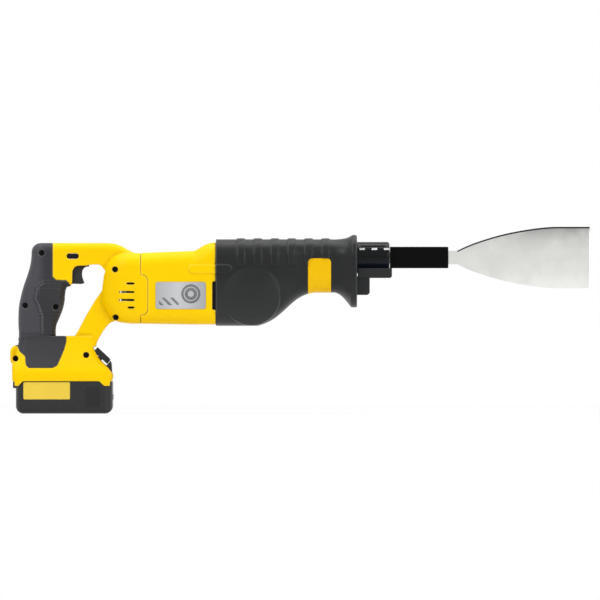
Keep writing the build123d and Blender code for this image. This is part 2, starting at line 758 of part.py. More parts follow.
# The raised panel on each flank of the grip, and the finger ridges on it
with BuildPart() as ridge_tool:
    with BuildSketch(Plane.XZ.offset(-REACH)):
        with Locations((sum(RIDGE_SPAN) / 2, RIDGE_Z)):
            with GridLocations(0, RIDGE_PITCH, 1, RIDGE_COUNT):
                RectangleRounded(RIDGE_SPAN[1] - RIDGE_SPAN[0], RIDGE_WIDTH, RIDGE_WIDTH / 2 - 0.05)
    extrude(amount=2 * REACH)
skin = (outer & slab(GRIP_OUTLINE)) - handle_union(GRIP_SKIN - SEAM_GAP)
skin = union(
    skin,
    raised(grip_form, PANEL_HEIGHT / 2, flank_zone(PANEL_OUTLINE, PANEL_STEP)),
    raised(grip_form, PANEL_HEIGHT, flank_zone(PANEL_OUTLINE)),
    raised(grip_form, PANEL_HEIGHT + RIDGE_HEIGHT, ridge_tool.part),
)
skin = skin - trigger_pocket - screw_cuts(GRIP_SCREWS, SHELL_SCREW_END)

with BuildPart() as rear_grip_right:
    add(skin & RIGHT)
save(rear_grip_right.part, "rear_grip_right")

with BuildPart() as rear_grip_left:
    add(skin & LEFT)
save(rear_grip_left.part, "rear_grip_left")

with BuildPart() as housing_screws:
    add(screws_along_y(SHELL_SCREWS, SHELL_SCREW_END))
save(housing_screws.part, "housing_screws")

# Motor housing

boss_zone = rounded_slab(BOSS_REAR, BOOT_REAR + 10.0, BOSS_LOW, BOSS_HIGH, BOSS_CORNER)
motor_zone = across(SHELL_END, BOOT_REAR)
tongue_cut = rounded_slab(
    SHELL_END - 20, SHELL_END + TONGUE_LENGTH + SEAM_GAP, TONGUE_LOW - SEAM_GAP, TONGUE_HIGH + SEAM_GAP,
    TONGUE_CORNER + SEAM_GAP,
)
seam_cut = across(0.0, SHELL_END + SEAM_GAP)
exhaust_cut = block(EXHAUST_REAR, BOOT_REAR + 1, -REACH, REACH, EXHAUST_LOW, EXHAUST_HIGH)
can_seats = barrel_form(SHELL_WALL) & union(
    across(CAN_REAR + 8, CAN_REAR + 14),
    across(CAN_FRONT - 8, CAN_FRONT - 2),
)
motor_shell = union(
    (barrel_form() - barrel_form(SHELL_WALL)) & motor_zone,
    raised(barrel_form, BOSS_HEIGHT, boss_zone) & motor_zone,
    can_seats - rod_x(CAN_REAR - 5, CAN_FRONT + 5, CAN_RADIUS + FIT_GAP),
)

with BuildPart() as motor_housing:
    add(motor_shell - seam_cut - tongue_cut - exhaust_cut)
save(motor_housing.part, "motor_housing")

# Dark screens behind the air slots, against the bearing wall and the front bearing plate
with BuildPart() as air_screens:
    for side in (-1, 1):
        low, high = sorted((side * VENT_SCREEN_Y, side * (VENT_SCREEN_Y + SCREEN_THICKNESS)))
        add(block(BEARING_FACE, VENT_FRONT + SCREEN_MARGIN, low, high,
                  VENT_Z - SCREEN_HALF, VENT_Z + SCREEN_HALF))
        low, high = sorted((side * EXHAUST_SCREEN_Y, side * (EXHAUST_SCREEN_Y + SCREEN_THICKNESS)))
        add(block(EXHAUST_REAR - SCREEN_MARGIN, BOOT_REAR + SEAM_GAP, low, high,
                  EXHAUST_LOW - SCREEN_MARGIN, EXHAUST_HIGH + SCREEN_MARGIN))
save(air_screens.part, "air_screens")

label_zone = rounded_slab(LABEL_REAR, LABEL_FRONT, LABEL_LOW, LABEL_HIGH, 3.0)
label_skin = raised(barrel_form, LABEL_THICKNESS, label_zone)

with BuildPart() as motor_label_right:
    add(label_skin & RIGHT)
save(motor_label_right.part, "motor_label_right")

with BuildPart() as motor_label_left:
    add(label_skin & LEFT)
save(motor_label_left.part, "motor_label_left")

# Motor

with BuildPart() as motor_can:
    add(rod_x(CAN_REAR, CAN_FRONT, CAN_RADIUS))
    add(rod_x(CAN_REAR - 1, CAN_FRONT - CAN_WALL, CAN_RADIUS - CAN_WALL), mode=Mode.SUBTRACT)
    add(rod_x(CAN_REAR, CAN_FRONT + 1, BEARING_RADIUS), mode=Mode.SUBTRACT)
save(motor_can.part, "motor_can")

magnet_ring = rod_x(CORE_REAR - 2, CORE_FRONT + 2, CAN_RADIUS - CAN_WALL) - rod_x(
    CORE_REAR - 3, CORE_FRONT + 3, CORE_RADIUS + MAGNET_GAP
)
with BuildPart() as field_magnets:
    add(magnet_ring)
    add(
        block(CAN_REAR, CAN_FRONT, -MAGNET_SPLIT, MAGNET_SPLIT, MOTOR_Z - REACH, MOTOR_Z + REACH),
        mode=Mode.SUBTRACT,
    )
save(field_magnets.part, "field_magnets")

with BuildPart() as motor_shaft:
    add(rod_x(REAR_BEARING_X + 0.5, CASE_REAR, SHAFT_RADIUS))
    add(rod_x(CASE_REAR, PINION_FRONT, PINION_SHAFT_RADIUS))
save(motor_shaft.part, "motor_shaft")

with BuildPart() as armature_core:
    add(rod_x(CORE_REAR, CORE_FRONT, CORE_RADIUS))
    add(rod_x(CORE_REAR - 1, CORE_FRONT + 1, SHAFT_RADIUS), mode=Mode.SUBTRACT)
    with BuildSketch(cross_plane(CORE_REAR, MOTOR_Z)):
        with PolarLocations(CORE_RADIUS - 1, CORE_SLOTS):
            Rectangle(4.0, 1.6)
    extrude(amount=CORE_FRONT - CORE_REAR, mode=Mode.SUBTRACT)
save(armature_core.part, "armature_core")

with BuildPart() as armature_windings:
    for start, end in ((CORE_REAR - COIL_LENGTH, CORE_REAR), (CORE_FRONT, CORE_FRONT + COIL_LENGTH)):
        add(rod_x(start, end, COIL_RADIUS) - rod_x(start - 1, end + 1, SHAFT_RADIUS + 1.0))
    outward = armature_windings.edges().filter_by(GeomType.CIRCLE).group_by(Axis.X)
    fillet([e for e in outward[0] + outward[-1] if e.radius > SHAFT_RADIUS + 2], 2.0)
save(armature_windings.part, "armature_windings")

with BuildPart() as commutator:
    add(rod_x(COMMUTATOR_REAR, COMMUTATOR_FRONT, COMMUTATOR_RADIUS))
    add(rod_x(COMMUTATOR_REAR - 1, COMMUTATOR_FRONT + 1, SHAFT_RADIUS), mode=Mode.SUBTRACT)
    with BuildSketch(cross_plane(COMMUTATOR_REAR, MOTOR_Z)):
        with PolarLocations(COMMUTATOR_RADIUS, CORE_SLOTS):
            Rectangle(1.6, 0.5)
    extrude(amount=COMMUTATOR_FRONT - COMMUTATOR_REAR, mode=Mode.SUBTRACT)
save(commutator.part, "commutator")

with BuildPart() as cooling_fan:
    add(rod_x(FAN_REAR, FAN_FRONT, SHAFT_RADIUS + 4.0))
    add(rod_x(FAN_REAR, FAN_REAR + 2.0, FAN_RADIUS))
    with BuildSketch(cross_plane(FAN_REAR + 1.0, MOTOR_Z)):
        with PolarLocations((FAN_RADIUS + SHAFT_RADIUS) / 2 + 1, FAN_BLADES):
            Rectangle(FAN_RADIUS - SHAFT_RADIUS - 3, 1.6, rotation=20)
    extrude(amount=FAN_FRONT - FAN_REAR - 1.0)
    add(rod_x(FAN_REAR - 1, FAN_FRONT + 1, SHAFT_RADIUS), mode=Mode.SUBTRACT)
save(cooling_fan.part, "cooling_fan")


def ball_bearing(x):
    with BuildPart() as bearing:
        add(rod_x(x, x + BEARING_WIDTH, BEARING_RADIUS))
        add(rod_x(x - 1, x + BEARING_WIDTH + 1, SHAFT_RADIUS + FIT_GAP), mode=Mode.SUBTRACT)
        for start in (x - 1.0, x + BEARING_WIDTH - 1.0):
            outer_race = rod_x(start, start + 2.0, BEARING_RADIUS - 2.0)
            inner_race = rod_x(start, start + 2.0, SHAFT_RADIUS + 2.0)
            add(outer_race - inner_race, mode=Mode.SUBTRACT)
    return bearing.part


with BuildPart() as rear_bearing:
    add(ball_bearing(REAR_BEARING_X))
save(rear_bearing.part, "rear_bearing")

with BuildPart() as front_bearing:
    add(ball_bearing(FRONT_BEARING_X))
save(front_bearing.part, "front_bearing")

holder_heights = (MOTOR_Z - BRUSH_HOLDER_HALF, MOTOR_Z + BRUSH_HOLDER_HALF)
with BuildPart() as brush_plate:
    add(rod_x(BRUSH_PLATE_REAR, CAN_REAR, CAN_RADIUS))
    add(rod_x(BRUSH_PLATE_REAR - 1, CAN_REAR + 1, COIL_RADIUS + 1.0), mode=Mode.SUBTRACT)
    for side in (-1, 1):
        low, high = sorted((side * BRUSH_HOLDER_INNER, side * BRUSH_HOLDER_OUTER))
        foot_low, foot_high = sorted((side * (COIL_RADIUS + 2), side * BRUSH_HOLDER_OUTER))
        add(block(BRUSH_REAR - 2, BRUSH_PLATE_REAR, low, high, *holder_heights))
        add(block(BRUSH_REAR - 2, CAN_REAR, foot_low, foot_high, *holder_heights))
    brush_channel = block(
        BRUSH_REAR, BRUSH_FRONT, -BRUSH_TIP, BRUSH_TIP, MOTOR_Z - BRUSH_HALF, MOTOR_Z + BRUSH_HALF
    )
    add(brush_channel, mode=Mode.SUBTRACT)
save(brush_plate.part, "brush_plate")

brush_heights = (MOTOR_Z - BRUSH_HALF + 2 * FIT_GAP, MOTOR_Z + BRUSH_HALF - 2 * FIT_GAP)
with BuildPart() as carbon_brushes:
    for side in (-1, 1):
        low, high = sorted((side * (COMMUTATOR_RADIUS + RUN_GAP), side * (BRUSH_TIP - RUN_GAP)))
        add(block(BRUSH_REAR + FIT_GAP, BRUSH_FRONT - FIT_GAP, low, high, *brush_heights))
save(carbon_brushes.part, "carbon_brushes")

# Gear train

PITCH_RADIUS = MODULE * PINION_TEETH / 2
PINION_TIP = PITCH_RADIUS + 0.8 * MODULE
PINION_ROOT = PITCH_RADIUS - MODULE
# The face gear's pitch plane lies one pitch radius from the pinion's axis
GEAR_TIP_Y = PITCH_RADIUS - 0.6 * MODULE
GEAR_ROOT_Y = PITCH_RADIUS + MODULE
GEAR_BACK_Y = GEAR_ROOT_Y + 6.0
GEAR_HUB_Y = GEAR_BACK_Y + 7.5
MOTOR_AXIS = Axis((0, 0, MOTOR_Z), (1, 0, 0))
SPINDLE_AXIS = Axis((0, 0, SPINDLE_Z), (1, 0, 0))
GEAR_AXIS = Axis((GEAR_X, 0, MOTOR_Z), (0, 1, 0))
CRANK_RADIUS = STROKE / 2


def ring_of(solid, axis, count):
    with BuildPart() as ring:
        add([solid.rotate(axis, 360.0 * step / count) for step in range(count)])
    return ring.part


with BuildPart() as pinion_tooth:
    with BuildSketch(cross_plane(PINION_REAR, MOTOR_Z)):
        with BuildLine():
            Polyline(
                (PINION_ROOT - 0.4, -1.2), (PITCH_RADIUS, -0.8), (PINION_TIP, -0.35),
                (PINION_TIP, 0.35), (PITCH_RADIUS, 0.8), (PINION_ROOT - 0.4, 1.2), close=True,
            )
        make_face()
    extrude(amount=PINION_FRONT - PINION_REAR)

with BuildPart() as pinion:
    add(rod_x(PINION_REAR, PINION_FRONT, PINION_ROOT))
    add(ring_of(pinion_tooth.part, MOTOR_AXIS, PINION_TEETH))
    add(rod_x(PINION_REAR - 1, PINION_FRONT + 1, PINION_SHAFT_RADIUS), mode=Mode.SUBTRACT)
save(pinion.part, "pinion")

with BuildPart() as gear_tooth:
    with BuildSketch(cross_plane(GEAR_X - GEAR_OUTER, MOTOR_Z)):
        with BuildLine():
            Polyline(
                (GEAR_ROOT_Y + 0.5, -1.1), (PITCH_RADIUS, -0.7), (GEAR_TIP_Y, -0.35),
                (GEAR_TIP_Y, 0.35), (PITCH_RADIUS, 0.7), (GEAR_ROOT_Y + 0.5, 1.1), close=True,
            )
        make_face()
    extrude(amount=GEAR_OUTER - GEAR_INNER)

# A tooth of the pinion points at the gear, so the gear starts half a tooth round
gear_phase = 180.0 / GEAR_TEETH
with BuildPart() as drive_gear:
    add(rod_y(GEAR_ROOT_Y, GEAR_BACK_Y, GEAR_OUTER, GEAR_X, MOTOR_Z))
    add(rod_y(GEAR_BACK_Y, GEAR_HUB_Y, AXLE_RADIUS + 7.0, GEAR_X, MOTOR_Z))
    add(ring_of(gear_tooth.part.rotate(GEAR_AXIS, gear_phase), GEAR_AXIS, GEAR_TEETH))
    add(rod_y(0.0, REACH, AXLE_RADIUS + 2.0, GEAR_X, MOTOR_Z), mode=Mode.SUBTRACT)
    add(rod_y(0.0, REACH, CRANK_PIN_RADIUS, GEAR_X, MOTOR_Z + CRANK_RADIUS), mode=Mode.SUBTRACT)
save(drive_gear.part, "drive_gear")

with BuildPart() as gear_bush:
    add(rod_y(GEAR_ROOT_Y, GEAR_HUB_Y, AXLE_RADIUS + 2.0, GEAR_X, MOTOR_Z))
    add(rod_y(0.0, REACH, AXLE_RADIUS + FIT_GAP, GEAR_X, MOTOR_Z), mode=Mode.SUBTRACT)
save(gear_bush.part, "gear_bush")

with BuildPart() as crank_pin:
    add(rod_y(RUN_GAP, GEAR_BACK_Y, CRANK_PIN_RADIUS, GEAR_X, MOTOR_Z + CRANK_RADIUS))
save(crank_pin.part, "crank_pin")

with BuildPart() as crank_roller:
    add(rod_y(2 * RUN_GAP, GEAR_ROOT_Y - RUN_GAP, ROLLER_RADIUS, GEAR_X, MOTOR_Z + CRANK_RADIUS))
    add(
        rod_y(-1.0, GEAR_ROOT_Y, CRANK_PIN_RADIUS + FIT_GAP, GEAR_X, MOTOR_Z + CRANK_RADIUS),
        mode=Mode.SUBTRACT,
    )
save(crank_roller.part, "crank_roller")

AXLE_BOSS_Y = GEAR_HUB_Y + RUN_GAP
AXLE_END_Y = 36.0
with BuildPart() as gear_axle:
    add(rod_y(GEAR_ROOT_Y - RUN_GAP - 2.0, GEAR_ROOT_Y - RUN_GAP, AXLE_RADIUS + 2.0, GEAR_X, MOTOR_Z))
    add(rod_y(GEAR_ROOT_Y - RUN_GAP, AXLE_END_Y, AXLE_RADIUS, GEAR_X, MOTOR_Z))
save(gear_axle.part, "gear_axle")

# Spindle, its bushes and its yoke

BUSH_RADIUS = SPINDLE_RADIUS + BUSH_WALL
YOKE_SLOT_HALF = ROLLER_RADIUS + RUN_GAP
YOKE_SLOT_REACH = CRANK_RADIUS + ROLLER_RADIUS + RUN_GAP
YOKE_LOW = MOTOR_Z - YOKE_SLOT_REACH - 2.0
YOKE_HIGH = SPINDLE_Z + SPINDLE_RADIUS - 3.0

with BuildPart() as spindle:
    add(rod_x(SPINDLE_REAR, SPINDLE_FRONT, SPINDLE_RADIUS, 0.0, SPINDLE_Z))
    chamfer(spindle.edges().filter_by(GeomType.CIRCLE), 0.8)
    add(
        block(GEAR_X - YOKE_HALF - FIT_GAP, GEAR_X + YOKE_HALF + FIT_GAP, -YOKE_THICKNESS - FIT_GAP, FIT_GAP,
              SPINDLE_Z - 20.0, SPINDLE_Z + 20.0),
        mode=Mode.SUBTRACT,
    )
save(spindle.part, "spindle")

with BuildPart() as yoke:
    add(block(GEAR_X - YOKE_HALF, GEAR_X + YOKE_HALF, -YOKE_THICKNESS, 0.0, YOKE_LOW, YOKE_HIGH))
    add(
        rounded_slab(GEAR_X - YOKE_SLOT_HALF, GEAR_X + YOKE_SLOT_HALF, MOTOR_Z - YOKE_SLOT_REACH,
                     MOTOR_Z + YOKE_SLOT_REACH, YOKE_SLOT_HALF - 0.1),
        mode=Mode.SUBTRACT,
    )
save(yoke.part, "yoke")


def spindle_bush(x):
    with BuildPart() as bush:
        add(rod_x(x, x + BUSH_LENGTH, BUSH_RADIUS, 0.0, SPINDLE_Z))
        add(rod_x(x - 1, x + BUSH_LENGTH + 1, SPINDLE_RADIUS + FIT_GAP, 0.0, SPINDLE_Z), mode=Mode.SUBTRACT)
    return bush.part


with BuildPart() as rear_spindle_bush:
    add(spindle_bush(REAR_BUSH_X))
save(rear_spindle_bush.part, "rear_spindle_bush")

with BuildPart() as front_spindle_bush:
    add(spindle_bush(FRONT_BUSH_X))
save(front_spindle_bush.part, "front_spindle_bush")

SEAL_REAR = FRONT_BUSH_X + BUSH_LENGTH
SEAL_LENGTH = 3.0
SEAL_RADIUS = BUSH_RADIUS + 2.5
with BuildPart() as spindle_seal:
    add(rod_x(SEAL_REAR, SEAL_REAR + SEAL_LENGTH, SEAL_RADIUS, 0.0, SPINDLE_Z))
    add(rod_x(SEAL_REAR - 1, SEAL_REAR + 5, SPINDLE_RADIUS + RUN_GAP, 0.0, SPINDLE_Z), mode=Mode.SUBTRACT)
save(spindle_seal.part, "spindle_seal")

# Gear case, bearing plate and boot

CASE_SKIN = BOOT_WALL + SEAM_GAP
RECESS_RADIUS = COLLAR_RADIUS + 0.8


case_solid = boot_form(CASE_SKIN) & across(CASE_REAR + SEAM_GAP, CASE_FRONT)
case_cavity = boot_form(BOOT_WALL + CASE_WALL) & across(CASE_REAR - 1, NOSE_REAR)
case_cavity = case_cavity - across(REAR_BUSH_X, REAR_BUSH_X + BUSH_LENGTH)
case_cavity = case_cavity - rod_y(AXLE_BOSS_Y, REACH, AXLE_RADIUS + 6.0, GEAR_X, MOTOR_Z)
for x, z, seat in CASE_SCREWS[2:]:
    case_cavity = case_cavity - rod_y(-REACH, REACH, CASE_BOSS, x, z)
case = case_solid - case_cavity
case = case - rod_y(0.0, AXLE_END_Y, AXLE_RADIUS, GEAR_X, MOTOR_Z)
case = case - rod_x(REAR_BUSH_X - 1, REAR_BUSH_X + BUSH_LENGTH + 1, BUSH_RADIUS, 0.0, SPINDLE_Z)
case = case - rod_x(NOSE_REAR - 1, SEAL_REAR, BUSH_RADIUS, 0.0, SPINDLE_Z)
case = case - rod_x(SEAL_REAR, SEAL_REAR + SEAL_LENGTH, SEAL_RADIUS, 0.0, SPINDLE_Z)
case = case - rod_x(SEAL_REAR + SEAL_LENGTH, CASE_FRONT + 1, RECESS_RADIUS, 0.0, SPINDLE_Z)
case = case - screw_cuts(CASE_SCREWS, CASE_SCREW_END)
for y, z in SHOE_SCREWS:
    case = case - rod_x(SHOE_SCREW_END - 1, CASE_FRONT + 1, SCREW_RADIUS + FIT_GAP, y, z)

with BuildPart() as gear_case_right:
    add(case & RIGHT)
save(gear_case_right.part, "gear_case_right")

with BuildPart() as gear_case_left:
    add(case & LEFT)
save(gear_case_left.part, "gear_case_left")

with BuildPart() as gear_case_screws:
    add(screws_along_y(CASE_SCREWS, CASE_SCREW_END))
save(gear_case_screws.part, "gear_case_screws")

with BuildPart() as bearing_plate:
    add(boot_form(CASE_SKIN) & across(BOOT_REAR + SEAM_GAP, CASE_REAR))
    add(rod_x(FRONT_BEARING_X, CASE_REAR + 1, BEARING_RADIUS + FIT_GAP), mode=Mode.SUBTRACT)
    add(rod_x(BOOT_REAR - 1, CASE_REAR + 1, SHAFT_RADIUS + 3.0), mode=Mode.SUBTRACT)
save(bearing_plate.part, "bearing_plate")

badge_outline = rounded_slab(BADGE_REAR, BADGE_FRONT, NECK_LOW - 20.0, BADGE_HIGH, BADGE_CORNER)
badge_cut = rounded_slab(
    BADGE_REAR - SEAM_GAP, BADGE_FRONT + SEAM_GAP, NECK_LOW - 20.0, BADGE_HIGH + SEAM_GAP, BADGE_CORNER
)

with BuildPart() as rib_tool:
    with BuildSketch(Plane.XZ.offset(-REACH)):
        with Locations((RIB_FIRST + RIB_PITCH * (RIB_COUNT - 1) / 2, RIB_LOW + REACH / 2)):
            with GridLocations(RIB_PITCH, 0, RIB_COUNT, 1):
                RectangleRounded(RIB_WIDTH, REACH, RIB_WIDTH / 2 - 0.1)
    extrude(amount=2 * REACH)
boot_tab = rounded_slab(BOOT_REAR - 10, BOOT_TAB_FRONT, BOSS_LOW, BOSS_HIGH, BOSS_CORNER)
boot_tab = boot_tab & across(BOOT_REAR, BOOT_TAB_FRONT)
lip_section = (LIP_LOW, LIP_HIGH, LIP_HALF, LIP_CORNER)
lip = loft_x([(LIP_REAR, *lip_section), (BOOT_FRONT, *lip_section)], straight=True)
with BuildPart() as lip_ring:
    add(lip)
    fillet(lip_ring.edges().group_by(Axis.X)[0] + lip_ring.edges().group_by(Axis.X)[-1], LIP_ROUND)
boot = union(
    boot_form(),
    lip_ring.part,
    raised(boot_form, RIB_HEIGHT, rib_tool.part),
    raised(boot_form, BOSS_HEIGHT, boot_tab),
    dome_form(),
)
boot = boot - boot_form(BOOT_WALL, front=BOOT_FRONT + 5.0)
boot = boot - (badge_cut - boot_form(BADGE_DEPTH + SEAM_GAP))

with BuildPart() as front_boot:
    add(boot)
save(front_boot.part, "front_boot")

with BuildPart() as boot_badge:
    add((boot_form() - boot_form(BADGE_DEPTH)) & badge_outline)
save(boot_badge.part, "boot_badge")

# Blade, its holder and the clamp

CLAMP_REAR = SPINDLE_FRONT - 2.0
CLAMP_FRONT = COLLAR_FRONT - 2.0
BLADE_NECK_HALF = BLADE_FLARE[0][1]
SLEEVE_HALF = SLEEVE_HEIGHT / 2


def blade_side(sign):
    return [(x, SPINDLE_Z + sign * half) for x, half in BLADE_FLARE]


def tang_points(sign):
    neck = SPINDLE_Z + sign * BLADE_NECK_HALF
    tang = SPINDLE_Z + sign * TANG_HALF
    return [(BLADE_FLARE[0][0], neck), (SLEEVE_REAR + 8, neck), (SLEEVE_REAR + 6, tang), (TANG_REAR, tang)]


def corner_points(sign):
    edge = SPINDLE_Z + sign * BLADE_WIDTH / 2
    return [(BLADE_TIP - BLADE_CORNER, edge), (BLADE_TIP, edge - sign * BLADE_CORNER)]


def back_bevel(side):
    """A wedge that grinds the upper edge of the flare on one flank."""
    far = BLADE_TIP + 5.0
    top = SPINDLE_Z + BLADE_WIDTH
    with BuildPart() as wedge:
        for depth, drop in ((-BACK_BEVEL_DEPTH, 2 * BACK_BEVEL_WIDTH), (BACK_BEVEL_DEPTH, 0.0)):
            with BuildSketch(Plane.XZ.offset(side * (BLADE_THICKNESS / 2 - depth))):
                with BuildLine():
                    edge = [(x, z - drop) for x, z in blade_side(1)]
                    Spline(*edge)
                    Polyline(edge[-1], (far, edge[-1][1]), (far, top), (edge[0][0], top), edge[0])
                make_face()
        loft(ruled=True)
    return wedge.part


with BuildPart() as blade:
    with BuildSketch(Plane.XZ.offset(-BLADE_THICKNESS / 2)):
        with BuildLine():
            Polyline(*tang_points(-1), *reversed(tang_points(1)))
            Spline(*blade_side(1))
            Polyline(blade_side(1)[-1], *corner_points(1), *reversed(corner_points(-1)), blade_side(-1)[-1])
            Spline(*reversed(blade_side(-1)))
        make_face()
        with Locations((CLAMP_PIN_X, SPINDLE_Z)):
            Circle(CLAMP_PIN_RADIUS + RUN_GAP, mode=Mode.SUBTRACT)
    extrude(amount=BLADE_THICKNESS)
    for side in (-1, 1):
        add(back_bevel(side), mode=Mode.SUBTRACT)
        with BuildSketch(Plane.XY.offset(SPINDLE_Z - BLADE_WIDTH)):
            with BuildLine():
                Polyline(
                    (BLADE_TIP - EDGE_BEVEL_WIDTH, side * BLADE_THICKNESS / 2),
                    (BLADE_TIP + 1.0, side * BLADE_THICKNESS / 2),
                    (BLADE_TIP + 1.0, side * EDGE_HALF), (BLADE_TIP, side * EDGE_HALF), close=True,
                )
            make_face()
        extrude(amount=2 * BLADE_WIDTH, mode=Mode.SUBTRACT)
save(blade.part, "blade")

with BuildPart() as blade_holder:
    add(block(SLEEVE_REAR, SLEEVE_FRONT, -SLEEVE_THICKNESS / 2, SLEEVE_THICKNESS / 2,
              SPINDLE_Z - SLEEVE_HALF, SPINDLE_Z + SLEEVE_HALF))
    fillet(blade_holder.edges().filter_by(Axis.X), 1.8)
    chamfer(blade_holder.faces().sort_by(Axis.X)[-1].edges(), 0.8)
    add(block(SLEEVE_REAR - 1, SLEEVE_FRONT + 1, -BLADE_THICKNESS / 2, BLADE_THICKNESS / 2,
              SPINDLE_Z - BLADE_NECK_HALF, SPINDLE_Z + BLADE_NECK_HALF), mode=Mode.SUBTRACT)
save(blade_holder.part, "blade_holder")

tang_slot = block(
    TANG_REAR - RUN_GAP, CLAMP_FRONT + 1, -BLADE_THICKNESS / 2 - SEAM_GAP, BLADE_THICKNESS / 2 + SEAM_GAP,
    SPINDLE_Z - TANG_HALF - SEAM_GAP, SPINDLE_Z + TANG_HALF + SEAM_GAP,
)
with BuildPart() as blade_clamp:
    add(rod_x(CLAMP_REAR, CLAMP_FRONT, CLAMP_RADIUS, 0.0, SPINDLE_Z))
    add(rod_x(CLAMP_REAR - 1, SPINDLE_FRONT, SPINDLE_RADIUS, 0.0, SPINDLE_Z), mode=Mode.SUBTRACT)
    add(tang_slot, mode=Mode.SUBTRACT)
    add(rod_y(-REACH, REACH, CLAMP_PIN_RADIUS, CLAMP_PIN_X, SPINDLE_Z), mode=Mode.SUBTRACT)
save(blade_clamp.part, "blade_clamp")

with BuildPart() as clamp_pin:
    add(rod_y(-CLAMP_RADIUS + 0.8, CLAMP_RADIUS - 0.8, CLAMP_PIN_RADIUS, CLAMP_PIN_X, SPINDLE_Z))
save(clamp_pin.part, "clamp_pin")

collar_notch = block(
    COLLAR_REAR + 6, COLLAR_FRONT - 5, -COLLAR_NOTCH_HALF, COLLAR_NOTCH_HALF,
    SPINDLE_Z + COLLAR_RADIUS - COLLAR_NOTCH_DEPTH, SPINDLE_Z + 2 * COLLAR_RADIUS,
)
with BuildPart() as clamp_collar:
    add(rod_x(COLLAR_REAR, COLLAR_FRONT, COLLAR_RADIUS, 0.0, SPINDLE_Z))
    rims = clamp_collar.edges().filter_by(GeomType.CIRCLE).sort_by(Axis.X)
    fillet(rims[-1], 3.0)
    fillet(rims[0], 1.2)
    add(rod_x(COLLAR_REAR - 1, COLLAR_FRONT + 1, CLAMP_RADIUS + FIT_GAP, 0.0, SPINDLE_Z), mode=Mode.SUBTRACT)
    add(ring_of(collar_notch, SPINDLE_AXIS, COLLAR_NOTCHES), mode=Mode.SUBTRACT)
save(clamp_collar.part, "clamp_collar")

# Shoe bracket

SHOE_WALL = SHOE_HALF - COLLAR_RADIUS - 0.5
with BuildPart() as shoe_bracket:
    add(block(SHOE_REAR, SHOE_FRONT, -SHOE_HALF, SHOE_HALF, SHOE_LOW, SHOE_HIGH))
    front_low = shoe_bracket.edges().filter_by(Axis.Y).group_by(Axis.Z)[0].sort_by(Axis.X)[-1]
    fillet(front_low, SHOE_FRONT_ROUND)
    add(block(CASE_FRONT, SHOE_LEG_FRONT, -SHOE_HALF + 3, SHOE_HALF - 3, SHOE_LEG_LOW, SHOE_LOW + 2))
    leg_toe = shoe_bracket.edges().filter_by(Axis.Y).group_by(Axis.Z)[0].sort_by(Axis.X)[-1]
    fillet(leg_toe, SHOE_TOE_ROUND)
    add(rod_x(CASE_FRONT - 1, SHOE_FRONT + 1, SHOE_HALF - SHOE_WALL, 0.0, SPINDLE_Z), mode=Mode.SUBTRACT)
    for y, z in SHOE_SCREWS:
        add(rod_x(SHOE_LEG_FRONT - 4, SHOE_LEG_FRONT + 5, SCREW_RECESS, y, z), mode=Mode.SUBTRACT)
        add(rod_x(CASE_FRONT - 1, SHOE_LEG_FRONT, SCREW_RADIUS + RUN_GAP, y, z), mode=Mode.SUBTRACT)
save(shoe_bracket.part, "shoe_bracket")

with BuildPart() as shoe_screws:
    for y, z in SHOE_SCREWS:
        add(rod_x(SHOE_LEG_FRONT - 4, SHOE_LEG_FRONT - 4 + SCREW_HEAD_HEIGHT, SCREW_HEAD_RADIUS, y, z))
        add(rod_x(SHOE_SCREW_END, SHOE_LEG_FRONT - 4, SCREW_RADIUS, y, z))
save(shoe_screws.part, "shoe_screws")

# Trigger, lock-off button, switch and terminals

with BuildPart() as trigger:
    add(slab(TRIGGER_OUTLINE, -TRIGGER_HALF, TRIGGER_HALF))
    add(rod_x(SWITCH[1] - PLUNGER_DEPTH, 6.0, PLUNGER_RADIUS, 0.0, PLUNGER_Z))
save(trigger.part, "trigger")

with BuildPart() as switch_module:
    add(block(*SWITCH))
    fillet(switch_module.edges().filter_by(Axis.Y), 1.5)
    plunger_end = SWITCH[1] - PLUNGER_DEPTH - TRIGGER_TRAVEL - 1.0
    add(rod_x(plunger_end, 10.0, PLUNGER_RADIUS + FIT_GAP, 0.0, PLUNGER_Z), mode=Mode.SUBTRACT)
save(switch_module.part, "switch_module")

with BuildPart() as lock_off_button:
    add(rounded_slab(LOCK_X - LOCK_LENGTH / 2 + RUN_GAP, LOCK_X + LOCK_LENGTH / 2 - RUN_GAP,
                     LOCK_Z - LOCK_HEIGHT / 2 + RUN_GAP, LOCK_Z + LOCK_HEIGHT / 2 - RUN_GAP,
                     LOCK_HEIGHT / 2 - RUN_GAP - 0.05, -ARM_HALF + 1.0, ARM_HALF + LOCK_TRAVEL - 1.0))
    fillet(lock_off_button.edges().group_by(Axis.Y)[0] + lock_off_button.edges().group_by(Axis.Y)[-1], 0.8)
save(lock_off_button.part, "lock_off_button")


def terminal_blade(y, front):
    return block(TERMINAL[0] + 2, front, y - TERMINAL_HALF, y + TERMINAL_HALF, TERMINAL_LOW, TERMINAL_HIGH)


with BuildPart() as terminal_block:
    add(block(*TERMINAL))
    for y in TERMINAL_BLADE_Y:
        add(terminal_blade(y, 0.0), mode=Mode.SUBTRACT)
save(terminal_block.part, "terminal_block")

with BuildPart() as terminal_blades:
    for y in TERMINAL_BLADE_Y:
        add(terminal_blade(y, TERMINAL_FRONT))
save(terminal_blades.part, "terminal_blades")

# Battery pack

HALF_LENGTH = PACK_LENGTH / 2
HALF_WIDTH = PACK_WIDTH / 2
RIB_SPOTS = [PACK_RIB_FIRST + PACK_RIB_PITCH * step for step in range(PACK_RIB_COUNT)]
POSTS = [(x, y) for x in (-POST_X, POST_X) for y in (-POST_Y, POST_Y)]


